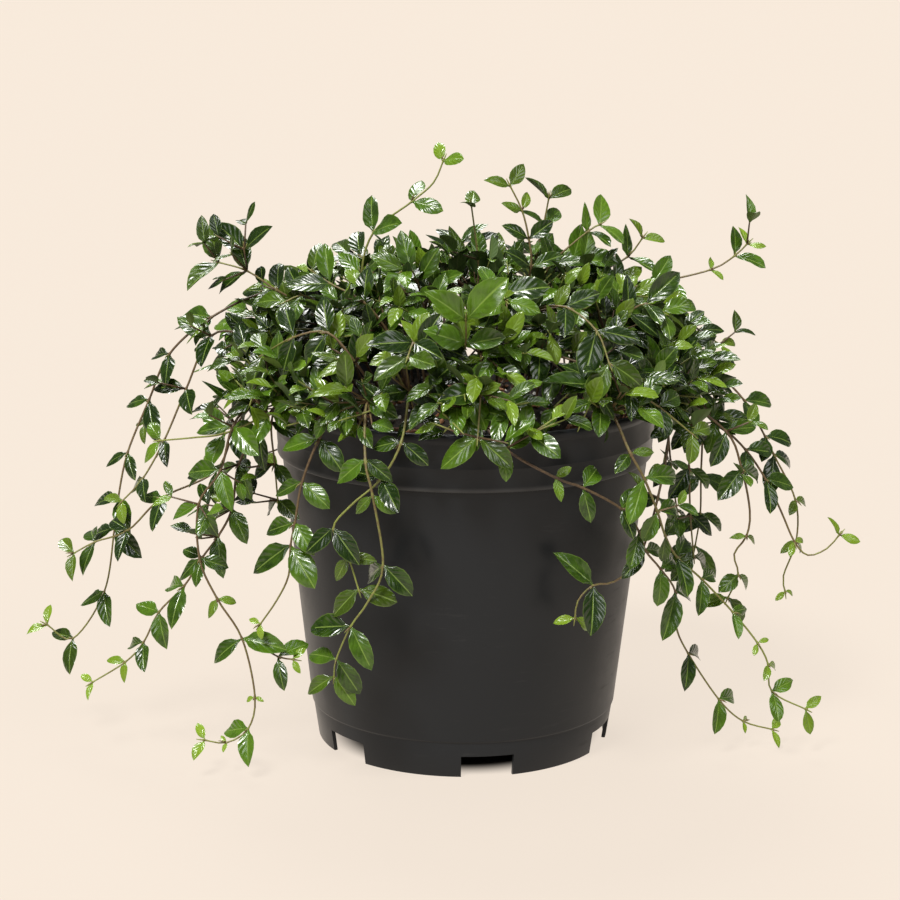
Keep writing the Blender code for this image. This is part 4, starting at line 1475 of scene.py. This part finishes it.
@dataclass
class RunnerDresser:
    """Draws runners again from their solids, with side twigs, buds and leaf stalks."""

    pot: NurseryPot
    foliage: Foliage
    dome: Dome
    skins: list
    bark: Material
    step: float = 4.0 * MM
    swell: float = 1.45
    slim: float = 0.62
    stem_sides: int = 7
    twig_sides: int = 5
    twig_radius: float = 0.45 * MM
    twig_end: float = 2.0 * MM
    twig_gap: tuple = (9.0, 12.5)
    bud_lengths: tuple = (1.2, 1.6, 2.4, 3.6)
    spacing: float = 5.2 * MM
    tight: float = 3.8 * MM
    core: float = 0.72
    clear_front: float = 1.0 * MM
    clear_sides: float = -8.0 * MM
    clear_rim: tuple = (3.0 * MM, 4.0 * MM)
    droop: float = 7.0 * MM
    beside: tuple = (0.92, 1.5)
    bushy: float = 98.0 * MM
    mound_edge: float = 1.05
    mound_foot: float = 14.0 * MM
    twigs: int = 11
    slimness: tuple = (0.42, 0.56)
    enlarge: float = 1.02
    tones: tuple = (0.08, 0.62)
    mature: float = 13 * MM
    growth: float = 8 * MM
    late_share: float = 0.7
    lean: float = 0.35
    light: tuple = (0.0, -0.25, 0.9)
    facing_variety: float = 0.28
    shortening: tuple = (0.95, 0.94)
    hues: dict = field(default_factory=lambda: {
        "runner_front_pale": StemHue.GREEN, "runner_left_tawny": StemHue.TAWNY,
        "runner_front_blush": StemHue.TAWNY, "runner_front_orange": StemHue.TAWNY,
        "runner_top_tall": StemHue.GREEN})
    count: int = 0

    def read(self, node: str) -> RunnerSolid:
        """Reads one runner's solid, and notes its leaves.

        Args:
            node: its CAD node.

        Returns:
            The solid.
        """
        solid = RunnerSolid(node, self.pot)
        for seat in solid.leaves:
            self.foliage.settle(seat)
        return solid

    def dress(self, node: str, solid: RunnerSolid) -> None:
        """Draws one runner.

        Args:
            node: its CAD node.
            solid: its solid.
        """
        rng = random.Random(node)
        draft = Draft(rng, self.hues.get(node, StemHue.WOODY).value, rng.uniform(*self.tones))
        for course in solid.stems:
            course.halves = [half * self.slim for half in course.halves]
            join(draft.stems, grow_tube(course.smooth(self.step, self.swell), self.stem_sides, draft.hue))
            for joint in course.joints():
                self.add_buds(draft, joint)
        joints = [joint for course in solid.stems for joint in course.joints()]
        for seat in solid.leaves:
            near = min(joints, key=lambda joint: (joint.place - seat.base).length)
            seat.youth = self.youth(seat, near.share)
            seat.width = min(seat.width, seat.length * rng.uniform(*self.slimness)) * self.enlarge
            seat.tip = seat.base.lerp(seat.tip, self.enlarge)
            seat.base = seat.base.lerp(near.place, 0.5)
            self.add_leaf(draft, seat)
        for joint in joints:
            self.add_twigs(draft, joint)
        add_piece(f"{node}_stem", draft.stems, [self.bark], "foliage", node)
        add_piece(f"{node}_leaves", draft.leaves, self.skins, "foliage", node)

    def add_leaf(self, draft: Draft, seat: LeafSeat) -> None:
        """Draws a leaf of a runner, and counts it."""
        self.foliage.draw(draft.leaves, seat, draft.rng, draft.tone)
        self.count += 1

    def youth(self, seat: LeafSeat, share: float) -> float:
        """How young a leaf is: small ones near the growing end are youngest.

        Args:
            seat: the leaf.
            share: its joint's share of the stem.

        Returns:
            0 for a mature leaf to 1 for a new one.
        """
        small = min(1.0, max(0.0, (self.mature - seat.length) / self.growth))
        return min(1.0, 0.75 * small + 0.45 * max(0.0, share - self.late_share) / 0.3)

    @staticmethod
    def across(draft: Draft, joint: Joint, turn: float = 0.0) -> Vector:
        """A random direction across a joint, turned on by an angle."""
        side = joint.along.orthogonal().normalized()
        side.rotate(Quaternion(joint.along, draft.rng.uniform(0, math.tau) + turn))
        return side

    def add_buds(self, draft: Draft, joint: Joint) -> None:
        """Adds the two buds in the leaf corners of a joint.

        Args:
            draft: the runner.
            joint: the joint.
        """
        side = self.across(draft, joint)
        for sign in (1, -1):
            length = draft.rng.choice(self.bud_lengths) * MM
            way = (joint.along + side * sign * 0.8).normalized()
            start = joint.place + way * joint.half * 0.4
            bend = start + way * length * 0.6
            end = bend + (way + joint.along * 0.6).normalized() * length * 0.4
            course = [(start, 0.42 * MM, 0.0), (bend, 0.34 * MM, 0.5), (end, 0.06 * MM, 1.0)]
            join(draft.stems, grow_tube(course, self.twig_sides, (0.6, 1.0)))

    def add_twigs(self, draft: Draft, joint: Joint) -> None:
        """Grows the side twigs of a joint: many in the mound, few beside the pot.

        Args:
            draft: the runner.
            joint: the joint.
        """
        off = joint.place - self.pot.axis
        inner, outer = self.beside
        if self.dome.depth(joint.place) < self.mound_edge and off.z > self.pot.height - self.mound_foot:
            habit, count = TwigPlace.MOUND.value, self.twigs
        elif inner < abs(off.x) / self.pot.rim_radius < outer and off.z > self.bushy:
            habit, count = TwigPlace.BESIDE.value, 2 if off.x < 0 else draft.rng.choice((0, 0, 1))
        else:
            return
        for turn in range(count):
            self.add_twig(draft, joint, turn, habit)

    def grow_twig(self, draft: Draft, joint: Joint, turn: int, habit: TwigHabit) -> Twig:
        """Finds a twig's course, up and away from the joint and clear of the pot.

        Args:
            draft: the runner.
            joint: the joint that it grows from.
            turn: which of the joint's twigs it is.
            habit: how it grows.

        Returns:
            The twig, which has one place only if there is no room for it.
        """
        rng, height = draft.rng, self.pot.height
        side = self.across(draft, joint, turn * math.pi)
        outward = (joint.place - self.pot.axis) * Vector((1.0, 1.0, 0.0))
        outward.normalize()
        lowest = height + (self.clear_front if outward.y < -0.3 else self.clear_sides)
        if habit.hangs:
            lowest = self.bushy
        way = (side + joint.along * self.lean + UP * rng.uniform(0.1, 0.6) + outward * self.lean).normalized()
        twig = Twig([joint.place], way, outward, lowest)
        gap = rng.uniform(*self.twig_gap) * MM
        for _ in range(habit.pairs[0] if habit.hangs else rng.choice(habit.pairs)):
            lift = UP * rng.uniform(-0.12, 0.18)
            twig.way = (twig.way + lift + outward * rng.uniform(-0.05, 0.2)).normalized()
            place = twig.places[-1] + twig.way * gap
            reach = (place.xy - self.pot.axis.xy).length
            over, past = self.clear_rim
            blocked = place.z < height + over and reach < self.pot.rim_radius + past
            outside = self.dome.depth(place) > 1.0 and not habit.hangs
            if outside or blocked or place.z < lowest:
                break
            twig.places.append(place)
            gap *= self.shortening[0]
        return twig

    def twig_leaf(self, draft: Draft, twig: Twig, index: int, way: Vector, length: float) -> LeafSeat:
        """Seats one leaf on a twig.

        Args:
            draft: the runner.
            twig: the twig.
            index: which of the twig's places it grows at.
            way: the side that it points to.
            length: its length, before its own variety.

        Returns:
            The leaf's seat.
        """
        rng, place = draft.rng, twig.places[index]
        along = (place - twig.places[index - 1]).normalized()
        end = index == len(twig.places) - 1
        heading = (way + along * (0.9 if end else 0.5) + UP * rng.uniform(-0.25, 0.3)).normalized()
        facing = Vector(self.light) + twig.outward * self.lean + draft.jitter(self.facing_variety)
        normal = (facing - heading * facing.dot(heading)).normalized()
        size = length * (0.8 if end else 1.0) * rng.uniform(0.85, 1.1)
        width = size * rng.uniform(*self.slimness)
        youth = rng.uniform(0.2, 0.8) ** 2 if end else rng.uniform(0, 0.2)
        return LeafSeat(place, place + heading * size, normal, width, youth)

    def add_twig(self, draft: Draft, joint: Joint, turn: int, habit: TwigHabit) -> None:
        """Grows a side twig with leaf pairs, if there is room for any of its leaves.

        Args:
            draft: the runner.
            joint: the joint that it grows from.
            turn: which of the joint's twigs it is.
            habit: how it grows.
        """
        twig = self.grow_twig(draft, joint, turn, habit)
        places = twig.places
        if len(places) < 2:
            return
        length = draft.rng.uniform(*habit.leaf) * MM
        spread = twig.way.cross(UP * 0.7 + twig.outward).normalized()
        before = self.count
        for index in range(1, len(places)):
            for sign in (1, -1):
                seat = self.twig_leaf(draft, twig, index, spread * sign, length)
                spacing = self.tight if self.dome.depth(seat.middle) < self.core else self.spacing
                if seat.tip.z > twig.lowest - self.droop and self.foliage.has_room(seat, spacing):
                    self.foliage.settle(seat)
                    self.add_leaf(draft, seat)
            along = (places[index] - places[index - 1]).normalized()
            spread = (spread.cross(along) * 0.75 + spread * 0.3).normalized()
            length *= self.shortening[1]
        if self.count > before:
            course = [(place, self.twig_radius * (1 - 0.4 * index / len(places)), index / (len(places) - 1))
                      for index, place in enumerate(places)]
            course.append((places[-1] + twig.way * self.twig_end, 0.12 * MM, 1.0))
            join(draft.stems, grow_tube(course, self.twig_sides, (0.3 + draft.hue[0] * 0.5, 1.0)))


# ---------------------------------------------------------------- studio
@dataclass(frozen=True)
class Sun:
    """A soft, distant light, with its rotation and its width in degrees."""

    name: str
    turn: tuple
    strength: float
    spread: float
    colour: tuple

    def light(self) -> None:
        """Adds the light."""
        data = bpy.data.lights.new(self.name, "SUN")
        data.energy, data.angle, data.color = self.strength, math.radians(self.spread), self.colour
        put(self.name, data).rotation_euler = [math.radians(angle) for angle in self.turn]


@dataclass
class Studio:
    """The camera, the lights and the pale floor."""

    SUNS = (
        Sun("key_light", (36, 0, -32), 3.8, 16, (1.0, 0.99, 0.96)),
        Sun("fill_light", (44, 0, 58), 0.9, 30, (0.98, 0.99, 1.0)),
        Sun("back_light", (-38, 0, 16), 3.0, 28, (1.0, 1.0, 0.98)),
        Sun("front_light", (62, 0, -24), 0.60, 20, (0.97, 0.99, 1.0)),
    )

    pot: NurseryPot
    distance: float = 1.100
    height: float = 0.3793
    pitch: float = 13.01
    yaw: float = 0.33
    roll: float = 0.37
    lens: float = 105.36
    sensor: float = 36.0
    floor_half: float = 20.0
    sky: tuple = (1.0, 0.985, 0.965)
    sky_strength: float = 0.13

    def build(self) -> None:
        """Sets the camera, the floor, the sky and the lights."""
        self.set_camera()
        self.set_floor()
        self.set_sky()
        for sun in self.SUNS:
            sun.light()
        bpy.context.scene.view_settings.view_transform = "Standard"

    def set_camera(self) -> None:
        """Adds the camera in front of the pot's axis."""
        camera = put("camera", bpy.data.cameras.new("camera"))
        camera.data.lens = self.lens
        camera.data.sensor_width = self.sensor
        camera.data.clip_end = 100.0
        place = self.pot.axis + Vector((0.0, -self.distance, self.height))
        turn = (Matrix.Rotation(math.radians(self.yaw), 4, "Z")
                @ Matrix.Rotation(math.radians(90.0 - self.pitch), 4, "X")
                @ Matrix.Rotation(math.radians(self.roll), 4, "Z"))
        camera.matrix_world = Matrix.Translation(place) @ turn
        bpy.context.scene.camera = camera

    def set_floor(self) -> None:
        """Adds the floor."""
        bm = bmesh.new()
        bmesh.ops.create_grid(bm, x_segments=1, y_segments=1, size=self.floor_half)
        mesh = finish_mesh("floor", bm)
        mesh.materials.append(PaperSweep(self.pot.axis, self.pot.foot_radius).make())
        floor = put("floor", mesh)

    def set_sky(self) -> None:
        """Lights everything evenly."""
        world = bpy.data.worlds.new("studio")
        world.use_nodes = True
        background = world.node_tree.nodes["Background"]
        background.inputs["Color"].default_value = (*self.sky, 1.0)
        background.inputs["Strength"].default_value = self.sky_strength
        bpy.context.scene.world = world


def main() -> None:
    """Builds the plant and its studio, and reports each piece."""
    pot = NurseryPot()
    pot.build(SatinPlastic().make(pot.height - pot.band_height))
    log.info("pot: %.1f mm across, %.1f mm tall", 2 * pot.rim_radius / MM, pot.height / MM)

    mix = Crumb("potting_mix", (0.007, 0.005, 0.004), (0.040, 0.025, 0.016), 520.0, 1.0 * MM, 0.92).make()
    bark = Crumb("bark", (0.085, 0.034, 0.016), (0.420, 0.190, 0.085), 380.0, 0.5 * MM, 0.85).make()
    perlite = Crumb("perlite", (0.60, 0.56, 0.50), (0.86, 0.84, 0.79), 900.0, 0.3 * MM, 0.9).make()
    PottingMix(pot).build(mix, bark, perlite)
    log.info("potting mix, bark and perlite")

    upper = LeafSkin(
        face=LeafFace.UPPER, quilt=0.42, coat=0.60, gloss=(0.22, 0.34), deep=(0.0075, 0.0215, 0.0012),
        fresh=(0.070, 0.150, 0.007), young=(0.185, 0.290, 0.016), vein=(0.210, 0.310, 0.055)).make()
    under = LeafSkin(
        face=LeafFace.UNDER, quilt=0.25, coat=0.0, gloss=(0.45, 0.60), deep=(0.055, 0.095, 0.028),
        fresh=(0.090, 0.140, 0.040), young=(0.160, 0.230, 0.050), vein=(0.160, 0.200, 0.075)).make()
    dresser = RunnerDresser(pot, Foliage(pot), Dome(pot), [upper, under], StemBark().make())
    nodes = sorted(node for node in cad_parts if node.startswith("runner"))
    solids = {node: dresser.read(node) for node in nodes}
    for node, solid in solids.items():
        dresser.dress(node, solid)
        log.info("%s: %d stems, %d leaves of its own", node, len(solid.stems), len(solid.leaves))
    log.info("%d leaves in all", dresser.count)
    Studio(pot).build()

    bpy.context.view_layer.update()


if __name__ == "__main__":
    logging.basicConfig(level=logging.INFO, format="%(name)s: %(message)s")
    main()
